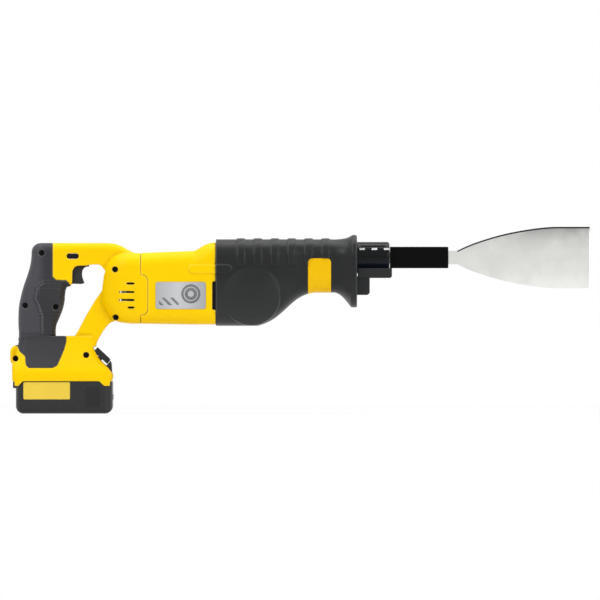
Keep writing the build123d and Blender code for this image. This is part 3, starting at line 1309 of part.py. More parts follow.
def pack_prism(z_from, z_to, inset=0.0):
    with BuildPart() as prism:
        with BuildSketch(Plane.XY.offset(z_from)):
            RectangleRounded(PACK_LENGTH - 2 * inset, PACK_WIDTH - 2 * inset, PACK_CORNER - inset)
        extrude(amount=z_to - z_from)
    return prism.part


def pack_body(top, inset=0.0):
    """The tub's form, rounded in plan and along its lower edges."""
    ends = rounded_slab(
        -HALF_LENGTH + inset, HALF_LENGTH - inset, inset, 2 * PACK_LENGTH, PACK_END_ROUND - inset
    )
    flank_section = (inset, 2 * PACK_LENGTH, HALF_WIDTH - inset, PACK_EDGE - inset)
    flanks = loft_x([(-PACK_LENGTH, *flank_section), (PACK_LENGTH, *flank_section)], straight=True)
    return pack_prism(inset, top, inset) & ends & flanks


def pack_plate(depth, grow=0.0):
    """The side plate's space, on both flanks of the pack."""
    zone = rounded_slab(
        PACK_PLATE_REAR - grow, PACK_PLATE_FRONT + grow, PACK_PLATE_LOW - grow, PACK_PLATE_HIGH + grow, 1.5
    )
    return zone - block(-100.0, 100.0, -HALF_WIDTH + depth, HALF_WIDTH - depth, 0.0, 60.0)


def gauge_lens(y, front):
    return block(
        HALF_LENGTH - LENS_DEPTH, front, y - LENS_HALF_WIDTH, y + LENS_HALF_WIDTH,
        GAUGE_Z - LENS_HALF_HEIGHT, GAUGE_Z + LENS_HALF_HEIGHT,
    )


cell_spots = [
    (CELL_PITCH * (column - (CELLS_PER_ROW - 1) / 2), CELL_LOW_Z + CELL_PITCH * row)
    for row in range(2)
    for column in range(CELLS_PER_ROW)
]

rib_reach = HALF_WIDTH + PACK_RIB_HEIGHT
with BuildPart() as battery_tub:
    add(pack_body(TUB_HEIGHT))
    bumper_rear = -HALF_LENGTH - BUMPER_REACH
    add(block(bumper_rear, -HALF_LENGTH + 6, -BUMPER_HALF, BUMPER_HALF, BUMPER_LOW, TUB_HEIGHT))
    for x in RIB_SPOTS:
        add(block(x, x + PACK_RIB_WIDTH, -rib_reach, rib_reach, PACK_RIB_LOW, PACK_RIB_HIGH))
    add(pack_body(TUB_HEIGHT + 1, PACK_WALL), mode=Mode.SUBTRACT)
    for x, y in POSTS:
        add(rod_z(POST_FOOT, POST_TOP, POST_RADIUS, x, y))
    for x, y in POSTS:
        add(rod_z(-1.0, PACK_SCREW_SEAT, PACK_SCREW_HEAD + RUN_GAP, x, y), mode=Mode.SUBTRACT)
        add(rod_z(0.0, TUB_HEIGHT + 1, PACK_SCREW_RADIUS + RUN_GAP, x, y), mode=Mode.SUBTRACT)
    add(pack_plate(PACK_PLATE_DEPTH, SEAM_GAP), mode=Mode.SUBTRACT)
    gauge_floor = HALF_LENGTH - GAUGE_DEPTH - 1
    add(rod_x(gauge_floor, HALF_LENGTH + 1, GAUGE_RADIUS + RUN_GAP, GAUGE_Y, GAUGE_Z), mode=Mode.SUBTRACT)
    for y in LENS_Y:
        add(gauge_lens(y, HALF_LENGTH + 1), mode=Mode.SUBTRACT)
save(battery_tub.part, "battery_tub")

with BuildPart() as battery_plates:
    add(pack_plate(PACK_PLATE_DEPTH) & pack_prism(0.0, TUB_HEIGHT))
save(battery_plates.part, "battery_plates")

SLOPE = (BUTTON_LOW[0] - BUTTON_TOP[0], BUTTON_LOW[1] - BUTTON_TOP[1])
SLOPE_LENGTH = (SLOPE[0] ** 2 + SLOPE[1] ** 2) ** 0.5
INWARD = (SLOPE[1] / SLOPE_LENGTH, -SLOPE[0] / SLOPE_LENGTH)


def below_slope(point, depth):
    return (point[0] + INWARD[0] * depth, point[1] + INWARD[1] * depth)


BUTTON_SEAT = BUTTON_THICKNESS + BUTTON_TRAVEL + RUN_GAP
seat_top = below_slope(BUTTON_TOP, BUTTON_SEAT)
lip_edge = (
    BUTTON_LOW[0] + BUTTON_SIDE_GAP * SLOPE[0] / SLOPE_LENGTH,
    BUTTON_LOW[1] + BUTTON_SIDE_GAP * SLOPE[1] / SLOPE_LENGTH,
)
lip_top = below_slope(lip_edge, LIP_DEPTH)
seat_low = below_slope(lip_edge, BUTTON_SEAT)
middle = ((BUTTON_TOP[0] + BUTTON_LOW[0]) / 2, (BUTTON_TOP[1] + BUTTON_LOW[1]) / 2)


def button_stem(grow, depth):
    start = below_slope(middle, BUTTON_THICKNESS - 1.0)
    plane = Plane(origin=(start[0], 0, start[1]), x_dir=(0, 1, 0), z_dir=(INWARD[0], 0, INWARD[1]))
    with BuildPart() as stem:
        with BuildSketch(plane):
            Rectangle(2 * (STEM_HALF_WIDTH + grow), 2 * (STEM_HALF_HEIGHT + grow))
        extrude(amount=depth)
    return stem.part


def contact_space(y, x_from, x_to, half):
    return block(x_from, x_to, y - half, y + half, TERMINAL_LOW - RUN_GAP, TERMINAL_HIGH + RUN_GAP)


TOWER_BACK = NOTCH_REAR + RUN_GAP
CONTACT_REAR = TERMINAL_FRONT + RUN_GAP
tower_outline = [
    (TOWER_BACK, PACK_TOP), (TOWER_BACK, seat_top[1] - 2), seat_top, seat_low, lip_top,
    (TOWER_FRONT - 0.6, lip_top[1] - 2.5), (TOWER_FRONT, PACK_TOP + 10.0), (TOWER_FRONT, PACK_TOP),
]
with BuildPart() as battery_top:
    add(pack_prism(TUB_HEIGHT - PLUG_DEPTH, PACK_TOP, SHOULDER_INSET))
    add(block(TOWER_REAR, TOWER_FRONT, -TOWER_HALF, TOWER_HALF, PACK_TOP - 1, TOWER_TOP))
    add(block(TOWER_REAR, TOWER_FRONT, -RAIL_HALF, RAIL_HALF, RAIL_LOW, RAIL_HIGH))
    add(slab(tower_outline, -TOWER_HALF, TOWER_HALF))
    add(pack_prism(20.0, PACK_TOP - PACK_WALL + 0.4, SHOULDER_INSET + PACK_WALL), mode=Mode.SUBTRACT)
    for x, y in POSTS:
        add(rod_z(POST_TOP + SEAM_GAP, PACK_TOP - 1, POST_RADIUS, x, y))
    for x, y in POSTS:
        add(rod_z(20.0, PACK_TOP - 2, PACK_SCREW_RADIUS + FIT_GAP, x, y), mode=Mode.SUBTRACT)
    for y in TERMINAL_BLADE_Y:
        add(contact_space(y, TOWER_REAR - 1, CONTACT_REAR, 2 * TERMINAL_HALF), mode=Mode.SUBTRACT)
        add(contact_space(y, CONTACT_REAR, CONTACT_REAR + CONTACT_LENGTH, CONTACT_HALF), mode=Mode.SUBTRACT)
    add(button_stem(RUN_GAP, BUTTON_SEAT + 6.0), mode=Mode.SUBTRACT)
save(battery_top.part, "battery_top")

with BuildPart() as battery_contacts:
    for y in TERMINAL_BLADE_Y:
        add(contact_space(y, CONTACT_REAR, CONTACT_REAR + CONTACT_LENGTH, CONTACT_HALF))
save(battery_contacts.part, "battery_contacts")

with BuildPart() as battery_cells:
    for x, z in cell_spots:
        add(rod_y(-CELL_LENGTH / 2, CELL_LENGTH / 2, CELL_RADIUS, x, z))
save(battery_cells.part, "battery_cells")

with BuildPart() as cell_holder:
    for side in (-1, 1):
        low, high = sorted(side * y for y in HOLDER_Y)
        add(block(-HOLDER_END, HOLDER_END, low, high, PACK_WALL, CELL_LOW_Z + CELL_PITCH + CELL_RADIUS / 2))
    for x, z in cell_spots:
        add(rod_y(-REACH, REACH, CELL_RADIUS, x, z), mode=Mode.SUBTRACT)
save(cell_holder.part, "cell_holder")

with BuildPart() as battery_screws:
    for x, y in POSTS:
        add(rod_z(PACK_SCREW_SEAT - PACK_SCREW_HEAD_HEIGHT, PACK_SCREW_SEAT, PACK_SCREW_HEAD, x, y))
        add(rod_z(PACK_SCREW_SEAT, PACK_TOP - 3, PACK_SCREW_RADIUS, x, y))
save(battery_screws.part, "battery_screws")

with BuildPart() as gauge_lenses:
    for y in LENS_Y:
        add(gauge_lens(y, HALF_LENGTH))
save(gauge_lenses.part, "gauge_lenses")

with BuildPart() as gauge_button:
    add(rod_x(HALF_LENGTH - GAUGE_DEPTH, HALF_LENGTH + GAUGE_PROUD, GAUGE_RADIUS, GAUGE_Y, GAUGE_Z))
    fillet(gauge_button.edges().filter_by(GeomType.CIRCLE).group_by(Axis.X)[-1], 0.6)
save(gauge_button.part, "gauge_button")

with BuildPart() as release_button:
    back_low = below_slope(BUTTON_LOW, BUTTON_THICKNESS)
    back_top = below_slope(BUTTON_TOP, BUTTON_THICKNESS)
    add(slab([BUTTON_TOP, BUTTON_LOW, back_low, back_top], -BUTTON_HALF, BUTTON_HALF))
    fillet(release_button.edges().filter_by(Axis.Y).sort_by(Axis.X)[-1], 2.5)
    add(button_stem(0.0, BUTTON_SEAT + 2.0))
save(release_button.part, "release_button")
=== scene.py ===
"""Looks of the cordless auto glass cut-out tool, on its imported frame. Metres, +X forward, +Z up."""

import json
import math

import bpy
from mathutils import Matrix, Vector


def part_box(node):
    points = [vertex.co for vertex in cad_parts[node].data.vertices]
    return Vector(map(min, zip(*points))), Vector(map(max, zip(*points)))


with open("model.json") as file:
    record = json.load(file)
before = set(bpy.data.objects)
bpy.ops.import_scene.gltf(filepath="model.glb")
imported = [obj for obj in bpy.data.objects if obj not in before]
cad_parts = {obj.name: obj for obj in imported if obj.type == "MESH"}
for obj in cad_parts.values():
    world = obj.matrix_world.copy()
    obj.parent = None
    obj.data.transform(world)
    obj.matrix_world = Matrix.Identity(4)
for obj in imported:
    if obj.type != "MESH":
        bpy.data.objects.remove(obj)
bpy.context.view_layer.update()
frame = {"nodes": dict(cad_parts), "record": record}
nodes = frame["nodes"]

# Camera framing, from the photograph's scale of 1.2 mm to a pixel
VIEW_WIDTH = 0.720
VIEW_CENTRE = (0.2824, 0.1360)  # X and Z
CAMERA_DISTANCE = 16.0
SENSOR = 36.0  # millimetres, as Blender's lens values are

# Colours, as the photograph shows them
YELLOW = (255, 207, 0)
# Painted highlight on the yellow mouldings' outward edges
YELLOW_EDGE = (255, 224, 100)
YELLOW_BADGE = (242, 190, 10)
YELLOW_PLATE = (240, 207, 74)
GRIP_GREY = (50, 50, 54)
# Painted highlight on the grip's outward edges
GRIP_EDGE = (130, 130, 135)
BOOT_GREY = (26, 27, 28)
# Painted highlight on the boot's outward edges
BOOT_EDGE = (104, 105, 107)
# Painted light on the boot's underside
BOOT_UNDERSIDE_LIGHT = (48, 50, 49)
PACK_GREY = (28, 28, 30)
TRIGGER_GREY = (38, 39, 39)
BUTTON_BLACK = (8, 8, 9)
COLLAR_BLACK = (6, 7, 9)
# Painted bluish reflection on the collar's underside
COLLAR_REFLECTION_BLUE = (30, 35, 48)
# Painted glints on the collar, short white dashes
GLINT_WHITE = (225, 226, 228)
BRACKET_BLACK = (24, 25, 27)
SLEEVE_BLACK = (5, 5, 6)
SCREW_BLACK = (14, 14, 15)
LABEL_SILVER = (188, 189, 191)
LABEL_DARK = (78, 79, 81)
# Light and dark tones of the blade's steel, for its painted reflection and its streaks
STEEL_LIGHT = (219, 220, 216)
STEEL_DARK = (140, 142, 140)
# Painted shade on the blade's bevel along its back
STEEL_EDGE = (44, 44, 45)

# Colours of the pieces inside
SCREW_STEEL = (70, 70, 72)
BEARING_STEEL = (190, 190, 192)
MOTOR_STEEL = (150, 150, 152)
LAMINATION_GREY = (110, 110, 114)
COPPER = (200, 120, 75)
BRONZE = (180, 140, 85)
SEAL_BLACK = (30, 30, 31)
CAST_ALLOY = (175, 177, 180)
INNER_BLACK = (20, 20, 21)
CARBON_BLACK = (28, 28, 29)
CELL_BLUE = (60, 100, 160)
LENS_GREEN = (60, 150, 75)

BLACK = (0.0, 0.0, 0.0, 1.0)
WHITE = (1.0, 1.0, 1.0, 1.0)

# Sizes and strengths of surface detail, of painted shade in recesses and of painted highlights on edges
EDGE_ROUND = 0.0008  # how far a moulded edge is rounded
METAL_ROUND = 0.0003
EDGE_SAMPLES = 4
RECESS_SAMPLES = 8
RECESS_REACH = 0.005  # how near walls must be for painted shade to darken recesses
FINE_REACH = 0.002  # the same for fine grooves
RECESS_RAMP = (0.55, 0.96)  # openness at which the painted shade in recesses is darkest, and at which it starts
EDGE_RAMP = (0.515, 0.585)  # pointiness at which an edge's painted highlight starts to show, and at which it shows fully
EDGE_FADE = (-0.5, 0.0)  # the painted edge highlight is dull on edges that face down this far, and full on those that face up
# Share of the painted edge highlight kept where edges face down
DULL_EDGE = 0.1
UNDERSIDE_LIGHT_HEIGHTS = (0.105, 0.165)  # painted light from below: the boot is palest at the first, and not paler from the second on
NOISE_RAMP = (0.3, 0.7)  # the part of a noise over which a tone changes
PATCH_SCALE = 22.0  # of the slow change of tone over a moulding
GLOSS_SCALE = 90.0  # of the change of gloss over a moulding
GLOSS_SPREAD = (0.86, 1.12)  # of the roughness
STREAK_SCALE = 60.0
STREAK_SPREAD = (0.8, 1.2)  # of the roughness
STREAK_DEPTH = 0.00002
FINE_GRAIN = 900.0  # of plates and glossy pieces
FINE_DEPTH = 0.00001

# The grip's painted light and shade, by how far a place lies in front of the rear edge of the panel on its
# flank
PANEL_HEIGHTS = (0.099, 0.1555)
PANEL_REACH = (-0.040, 0.0)  # along X
# Shares of the heights and of the reach, up the panel's rear edge
PANEL_EDGE = ((0.0, 0.4), (0.34, 0.39), (0.48, 0.325), (0.69, 0.19), (0.92, 0.25), (1.0, 0.4))
PANEL_NEAR = (-0.2, 0.1)  # shares of the reach, from behind the edge to in front of it
# Share of the way between those two, and brightness there: a painted highlight behind the panel and on its
# step, painted shade in its creases
PANEL_TONES = ((0.2, 1.8), (0.31, 0.6), (0.38, 2.2), (0.57, 2.2), (0.68, 0.5), (0.76, 0.95))
FLANK_TONES = ((0.0, 1.8), (0.85, 0.95))  # painted highlight towards the rear, above the panel
PANEL_TOP = (0.155, 0.160)  # heights over which the panel's lines end
SKIRT_TOP = (0.093, 0.099)  # heights over which the skirt's even tone ends

# The blade's painted reflection, lighter low and darker towards its back: share of its height, and brightness
# there
BLADE_TONES = ((0.0, 1.22), (0.25, 1.04), (0.6, 0.95), (0.78, 0.8), (0.9, 0.62))
BLADE_CLOUDS = ((24.0, 0.4, 1.2), (34.0, 0.3, 0.78))  # scale, share and brightness of each layer
CLOUD_RAMP = (0.45, 0.68)
BEVEL_RAMP = (0.15, 0.28)  # how far up the ground back of the blade faces, for the painted shade on it
BLADE_ROUGHNESS = (0.27, 0.38)
BLADE_STREAKS = 0.1  # share of the dark tone in the streaks
BLADE_GRIND = (0.5, 16.0, 16.0)  # the streaks run along X
GRIND_SCALE = 70.0

# The label's pattern, in heights of its plate
SHEEN_LENGTH = 2.0
LABEL_SHEEN = ((0.05, 0.86), (0.4, 1.12), (0.6, 1.0), (0.95, 0.72))  # painted sheen: share of that length, and brightness there
BARS_ALONG = (0.12, 0.85)  # where the slanted bars start and end
BARS_UP = (0.14, 0.42)
BARS_PER_HEIGHT = 3.2
BAR_SHARE = 0.42  # of the pitch that a bar fills
RING_CENTRE = (1.3, 0.56)
RINGS = ((0.31, 0.045), (0.17, 0.06))  # radius and half width of each ring
LABEL_WEAR = (0.6, 0.95)
LABEL_ROUGHNESS = (0.26, 0.38)
WEAR_SCALE = 120.0

# The collar's painted glints: short white dashes where highlights fall on it
GLINTS_ALONG = 2.75  # pitches of the glints in the collar's length
GLINT_SHIFT = 0.72  # share of a pitch by which the glints are moved back
GLINT_SHARE = 0.45  # of the pitch that a glint fills
GLINT_LEVEL = 0.77  # of the collar's height
GLINT_HALF = 0.03  # of the collar's height, above and below the level
GLINT_BREAKUP = (0.75, 1.0)
GLINT_BREAKUP_SCALE = 400.0
COLLAR_RAMP = (0.1, 0.5)  # shares of the height between which the painted bluish reflection on the underside turns black
COLLAR_ROUGHNESS = (0.14, 0.24)


# Material tools


def linear(colour):
    """An 8-bit screen colour as Blender's linear one."""
    def channel(value):
        value = value / 255
        return value / 12.92 if value <= 0.04045 else ((value + 0.055) / 1.055) ** 2.4

    return (*(channel(value) for value in colour), 1.0)


def shade(colour, factor):
    """A linear colour made darker or lighter."""
    return (*(min(value * factor, 1.0) for value in colour[:3]), 1.0)


def grey(level):
    """A number as a linear grey, for ramps that hold values."""
    return (level, level, level, 1.0)


class Paint:
    """A node material with its shader, and short ways to add detail to it."""

    def __init__(self, name, roughness, metallic=0.0, coat=0.0, specular=0.5, edge=EDGE_ROUND):
        self.material = bpy.data.materials.new(name)
        self.material.use_nodes = True
        self.nodes = self.material.node_tree.nodes
        self.links = self.material.node_tree.links
        self.shader = self.nodes["Principled BSDF"]
        self.shader.inputs["Roughness"].default_value = roughness
        self.shader.inputs["Metallic"].default_value = metallic
        self.shader.inputs["Coat Weight"].default_value = coat
        self.shader.inputs["Specular IOR Level"].default_value = specular
        self.place = self.nodes.new("ShaderNodeTexCoord").outputs["Object"]
        rounding = self.nodes.new("ShaderNodeBevel")
        rounding.samples = EDGE_SAMPLES
        rounding.inputs["Radius"].default_value = edge
        self.rounded = rounding.outputs["Normal"]
        self.links.new(self.rounded, self.shader.inputs["Normal"])

    def feed(self, value, socket):
        """Links a value to a socket, or sets it there."""
        if isinstance(value, (int, float, tuple)):
            socket.default_value = value
        else:
            self.links.new(value, socket)

    def axis(self, letter):
        """One coordinate of the place on the tool."""
        split = self.nodes.new("ShaderNodeSeparateXYZ")
        self.links.new(self.place, split.inputs[0])
        return split.outputs[letter]

    def facing(self, letter):
        """One coordinate of the surface's direction."""
        split = self.nodes.new("ShaderNodeSeparateXYZ")
        self.links.new(self.nodes.new("ShaderNodeTexCoord").outputs["Normal"], split.inputs[0])
        return split.outputs[letter]

    def painted_recess_shade(self, reach):
        """1 on open surface, less in grooves, wells and corners, where shade is painted."""
        near = self.nodes.new("ShaderNodeAmbientOcclusion")
        near.samples = RECESS_SAMPLES
        near.inputs["Distance"].default_value = reach
        return near.outputs["AO"]

    def edges(self):
        """Where highlights are painted: 1 on outward edges, less where they face down, 0 elsewhere, on a mesh
        of small even faces.
        """
        sharpness = self.nodes.new("ShaderNodeNewGeometry").outputs["Pointiness"]
        edge = self.ramp(sharpness, [(EDGE_RAMP[0], BLACK), (EDGE_RAMP[1], WHITE)])
        return self.math("MULTIPLY", edge, self.span(self.facing("Z"), DULL_EDGE, 1.0, *EDGE_FADE))

    def math(self, operation, first, second=0.0):
        step = self.nodes.new("ShaderNodeMath")
        step.operation = operation
        self.feed(first, step.inputs[0])
        self.feed(second, step.inputs[1])
        return step.outputs[0]

    def noise(self, scale, detail=3.0, stretch=(1.0, 1.0, 1.0)):
        mapping = self.nodes.new("ShaderNodeMapping")
        mapping.inputs["Scale"].default_value = stretch
        texture = self.nodes.new("ShaderNodeTexNoise")
        texture.inputs["Scale"].default_value = scale
        texture.inputs["Detail"].default_value = detail
        self.links.new(self.place, mapping.inputs["Vector"])
        self.links.new(mapping.outputs["Vector"], texture.inputs["Vector"])
        return texture.outputs["Fac"]

    def ramp(self, value, stops):
        """Colours or greys along a value."""
        ramp = self.nodes.new("ShaderNodeValToRGB")
        elements = ramp.color_ramp.elements
        while len(elements) < len(stops):
            elements.new(0.5)
        for element, (position, colour) in zip(elements, stops):
            element.position = position
            element.color = colour
        self.links.new(value, ramp.inputs["Fac"])
        return ramp.outputs["Color"]

    def uneven(self, noise, colour, tone):
        """A colour that goes darker and lighter with a noise, by a share of its tone."""
        dark, light = shade(colour, 1 - tone), shade(colour, 1 + tone)
        return self.ramp(noise, [(NOISE_RAMP[0], dark), (NOISE_RAMP[1], light)])

    def span(self, value, low, high, start=0.0, end=1.0):
        """A value between start and end, turned into one between low and high."""
        span = self.nodes.new("ShaderNodeMapRange")
        span.inputs["From Min"].default_value = start
        span.inputs["From Max"].default_value = end
        span.inputs["To Min"].default_value = low
        span.inputs["To Max"].default_value = high
        self.links.new(value, span.inputs["Value"])
        return span.outputs["Result"]

    def mix(self, factor, first, second):
        blend = self.nodes.new("ShaderNodeMix")
        blend.data_type = "RGBA"
        share, low, high = (socket for socket in blend.inputs if socket.enabled)
        self.feed(factor, share)
        self.feed(first, low)
        self.feed(second, high)
        return next(socket for socket in blend.outputs if socket.enabled)

    def colour(self, value):
        self.links.new(value, self.shader.inputs["Base Color"])

    def rough(self, value):
        self.links.new(value, self.shader.inputs["Roughness"])

    def bump(self, value, depth):
        bump = self.nodes.new("ShaderNodeBump")
        bump.inputs["Distance"].default_value = depth
        self.links.new(value, bump.inputs["Height"])
        self.links.new(self.rounded, bump.inputs["Normal"])
        self.links.new(bump.outputs["Normal"], self.shader.inputs["Normal"])


# Materials


def moulded(
    name, colour, roughness, grain, depth, tone=0.08, coat=0.0, specular=0.2, shadow=0.45, sheen=0.0,
    reach=RECESS_REACH, painted_highlight=None, pattern=None,
):
    """Moulded plastic or rubber: a fine grain, an uneven tone or a pattern, painted shade in recesses,
    painted edge highlights.
    """
    paint = Paint(name, roughness, coat=coat, specular=specular)
    paint.shader.inputs["Sheen Weight"].default_value = sheen
    base = linear(colour)
    tint = paint.uneven(paint.noise(PATCH_SCALE, detail=4.0), base, tone)
    if pattern:
        tint = pattern(paint, tint)
    # Painted shade in recesses
    painted_recess_shade = paint.ramp(paint.painted_recess_shade(reach), [(RECESS_RAMP[0], WHITE), (RECESS_RAMP[1], BLACK)])
    tint = paint.mix(painted_recess_shade, tint, shade(base, shadow))
    # Painted highlight on outward edges
    if painted_highlight:
        tint = paint.mix(paint.edges(), tint, linear(painted_highlight))
    paint.colour(tint)
    gloss = paint.noise(GLOSS_SCALE, detail=2.0)
    paint.rough(paint.span(gloss, *(roughness * part for part in GLOSS_SPREAD)))
    paint.bump(paint.noise(grain, detail=2.0), depth)
    return paint.material


def painted_underside_light(paint, colour):
    """The boot's rubber, paler towards its base with painted light from below."""
    return paint.mix(paint.span(paint.axis("Z"), 1.0, 0.0, *UNDERSIDE_LIGHT_HEIGHTS), colour, linear(BOOT_UNDERSIDE_LIGHT))


def painted_panel_shading(paint, colour):
    """The grip's rubber with painted light and shade: a painted highlight behind the panel, then a pale step
    between creases in painted shade, and dull on it.
    """
    up = paint.span(paint.axis("Z"), 0.0, 1.0, *PANEL_HEIGHTS)
    edge = paint.ramp(up, [(height, grey(place)) for height, place in PANEL_EDGE])
    ahead = paint.math("SUBTRACT", paint.span(paint.axis("X"), 0.0, 1.0, *PANEL_REACH), edge)
    near = paint.span(ahead, 0.0, 1.0, *PANEL_NEAR)
    base = linear(GRIP_GREY)
    plain = paint.ramp(near, [(place, shade(base, tone)) for place, tone in FLANK_TONES])
    lined = paint.ramp(near, [(place, shade(base, tone)) for place, tone in PANEL_TONES])
    flank = paint.mix(paint.span(paint.axis("Z"), 1.0, 0.0, *PANEL_TOP), plain, lined)
    return paint.mix(paint.span(paint.axis("Z"), 0.0, 1.0, *SKIRT_TOP), colour, flank)


def brushed(name, colour, roughness, stretch, tone=0.08):
    """Ground, drawn or cast metal: streaked along an axis, or mottled where the stretch is even."""
    paint = Paint(name, roughness, metallic=1.0, edge=METAL_ROUND)
    streaks = paint.noise(STREAK_SCALE, detail=6.0, stretch=stretch)
    paint.colour(paint.uneven(streaks, linear(colour), tone))
    paint.rough(paint.span(streaks, *(roughness * part for part in STREAK_SPREAD)))
    paint.bump(streaks, STREAK_DEPTH)
    return paint.material


def blade_with_painted_reflection(name):
    """Ground spring steel: a painted reflection that darkens towards its back, cloudy, with painted shade on
    the bevel along the back.
    """
    paint = Paint(name, BLADE_ROUGHNESS[0], metallic=1.0, edge=METAL_ROUND)
    low, high = (corner[2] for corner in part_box("blade"))
    height = paint.span(paint.axis("Z"), 0.0, 1.0, low, high)
    light, dark = linear(STEEL_LIGHT), linear(STEEL_DARK)
    steel_and_reflection = paint.ramp(height, [*((place, shade(light, tone)) for place, tone in BLADE_TONES), (1.0, dark)])
    for scale, share, tone in BLADE_CLOUDS:
        cover = [(CLOUD_RAMP[0], BLACK), (CLOUD_RAMP[1], grey(share))]
        steel_and_reflection = paint.mix(paint.ramp(paint.noise(scale), cover), steel_and_reflection, shade(light, tone))
    streaks = paint.noise(GRIND_SCALE, detail=5.0, stretch=BLADE_GRIND)
    steel_and_reflection = paint.mix(paint.span(streaks, 0.0, BLADE_STREAKS), steel_and_reflection, dark)
    # Painted shade on the bevel along the back, where the surface faces up
    bevel = paint.ramp(paint.facing("Z"), [(BEVEL_RAMP[0], BLACK), (BEVEL_RAMP[1], WHITE)])
    paint.colour(paint.mix(bevel, steel_and_reflection, linear(STEEL_EDGE)))
    paint.rough(paint.span(streaks, *BLADE_ROUGHNESS))
    paint.bump(streaks, FINE_DEPTH)
    return paint.material


def silver_label(name, node):
    """A silver plate with a painted sheen along it and a plain pattern: slanted bars on one side and two
    rings on the other.
    """
    paint = Paint(name, LABEL_ROUGHNESS[0], edge=METAL_ROUND)
    (left, _, low), (right, _, high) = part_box(node)
    along = paint.span(paint.axis("X"), 0.0, (right - left) / (high - low), left, right)
    up = paint.span(paint.axis("Z"), 0.0, 1.0, low, high)
    silver, dark = linear(LABEL_SILVER), linear(LABEL_DARK)
    # Painted sheen along the plate
    sheen_place = paint.math("DIVIDE", along, SHEEN_LENGTH)
    sheen = paint.ramp(sheen_place, [(place, shade(silver, tone)) for place, tone in LABEL_SHEEN])
    slant = paint.math("FRACT", paint.math("MULTIPLY", paint.math("ADD", along, up), BARS_PER_HEIGHT))
    marks_and_glints = paint.math("LESS_THAN", slant, BAR_SHARE)
    for value, (start, end) in ((along, BARS_ALONG), (up, BARS_UP)):
        marks_and_glints = paint.math("MULTIPLY", marks_and_glints, paint.math("GREATER_THAN", value, start))
        marks_and_glints = paint.math("MULTIPLY", marks_and_glints, paint.math("LESS_THAN", value, end))
    across = paint.math("SUBTRACT", along, RING_CENTRE[0])
    above = paint.math("SUBTRACT", up, RING_CENTRE[1])
    squared = paint.math("ADD", paint.math("MULTIPLY", across, across), paint.math("MULTIPLY", above, above))
    distance = paint.math("SQRT", squared)
    for radius, half in RINGS:
        off = paint.math("ABSOLUTE", paint.math("SUBTRACT", distance, radius))
        marks_and_glints = paint.math("MAXIMUM", marks_and_glints, paint.math("LESS_THAN", off, half))
    faded = paint.math("MULTIPLY", marks_and_glints, paint.span(paint.noise(WEAR_SCALE, detail=2.0), *LABEL_WEAR))
    paint.colour(paint.mix(faded, sheen, dark))
    paint.rough(paint.span(paint.noise(WEAR_SCALE), *LABEL_ROUGHNESS))
    paint.bump(paint.noise(FINE_GRAIN), FINE_DEPTH)
    return paint.material


def collar_gloss(name, node):
    """Glossy black with a painted bluish reflection on its underside and a ring of short painted white
    glints.
    """
    paint = Paint(name, COLLAR_ROUGHNESS[0], specular=0.16)
    (rear, _, low), (front, _, high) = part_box(node)
    up = paint.span(paint.axis("Z"), 0.0, 1.0, low, high)
    body = paint.ramp(up, [(COLLAR_RAMP[0], linear(COLLAR_REFLECTION_BLUE)), (COLLAR_RAMP[1], linear(COLLAR_BLACK))])
    along = paint.span(paint.axis("X"), 0.0, GLINTS_ALONG, rear, front)
    # Painted glints, broken up by a noise
    dash = paint.math("LESS_THAN", paint.math("FRACT", paint.math("ADD", along, GLINT_SHIFT)), GLINT_SHARE)
    off = paint.math("ABSOLUTE", paint.math("SUBTRACT", up, GLINT_LEVEL))
    marks_and_glints = paint.math("MULTIPLY", dash, paint.math("LESS_THAN", off, GLINT_HALF))
    painted_highlight = paint.math("MULTIPLY", marks_and_glints, paint.span(paint.noise(GLINT_BREAKUP_SCALE, detail=2.0), *GLINT_BREAKUP))
    paint.colour(paint.mix(painted_highlight, body, linear(GLINT_WHITE)))
    paint.rough(paint.span(paint.noise(WEAR_SCALE), *COLLAR_ROUGHNESS))
    paint.bump(paint.noise(FINE_GRAIN), FINE_DEPTH)
    return paint.material


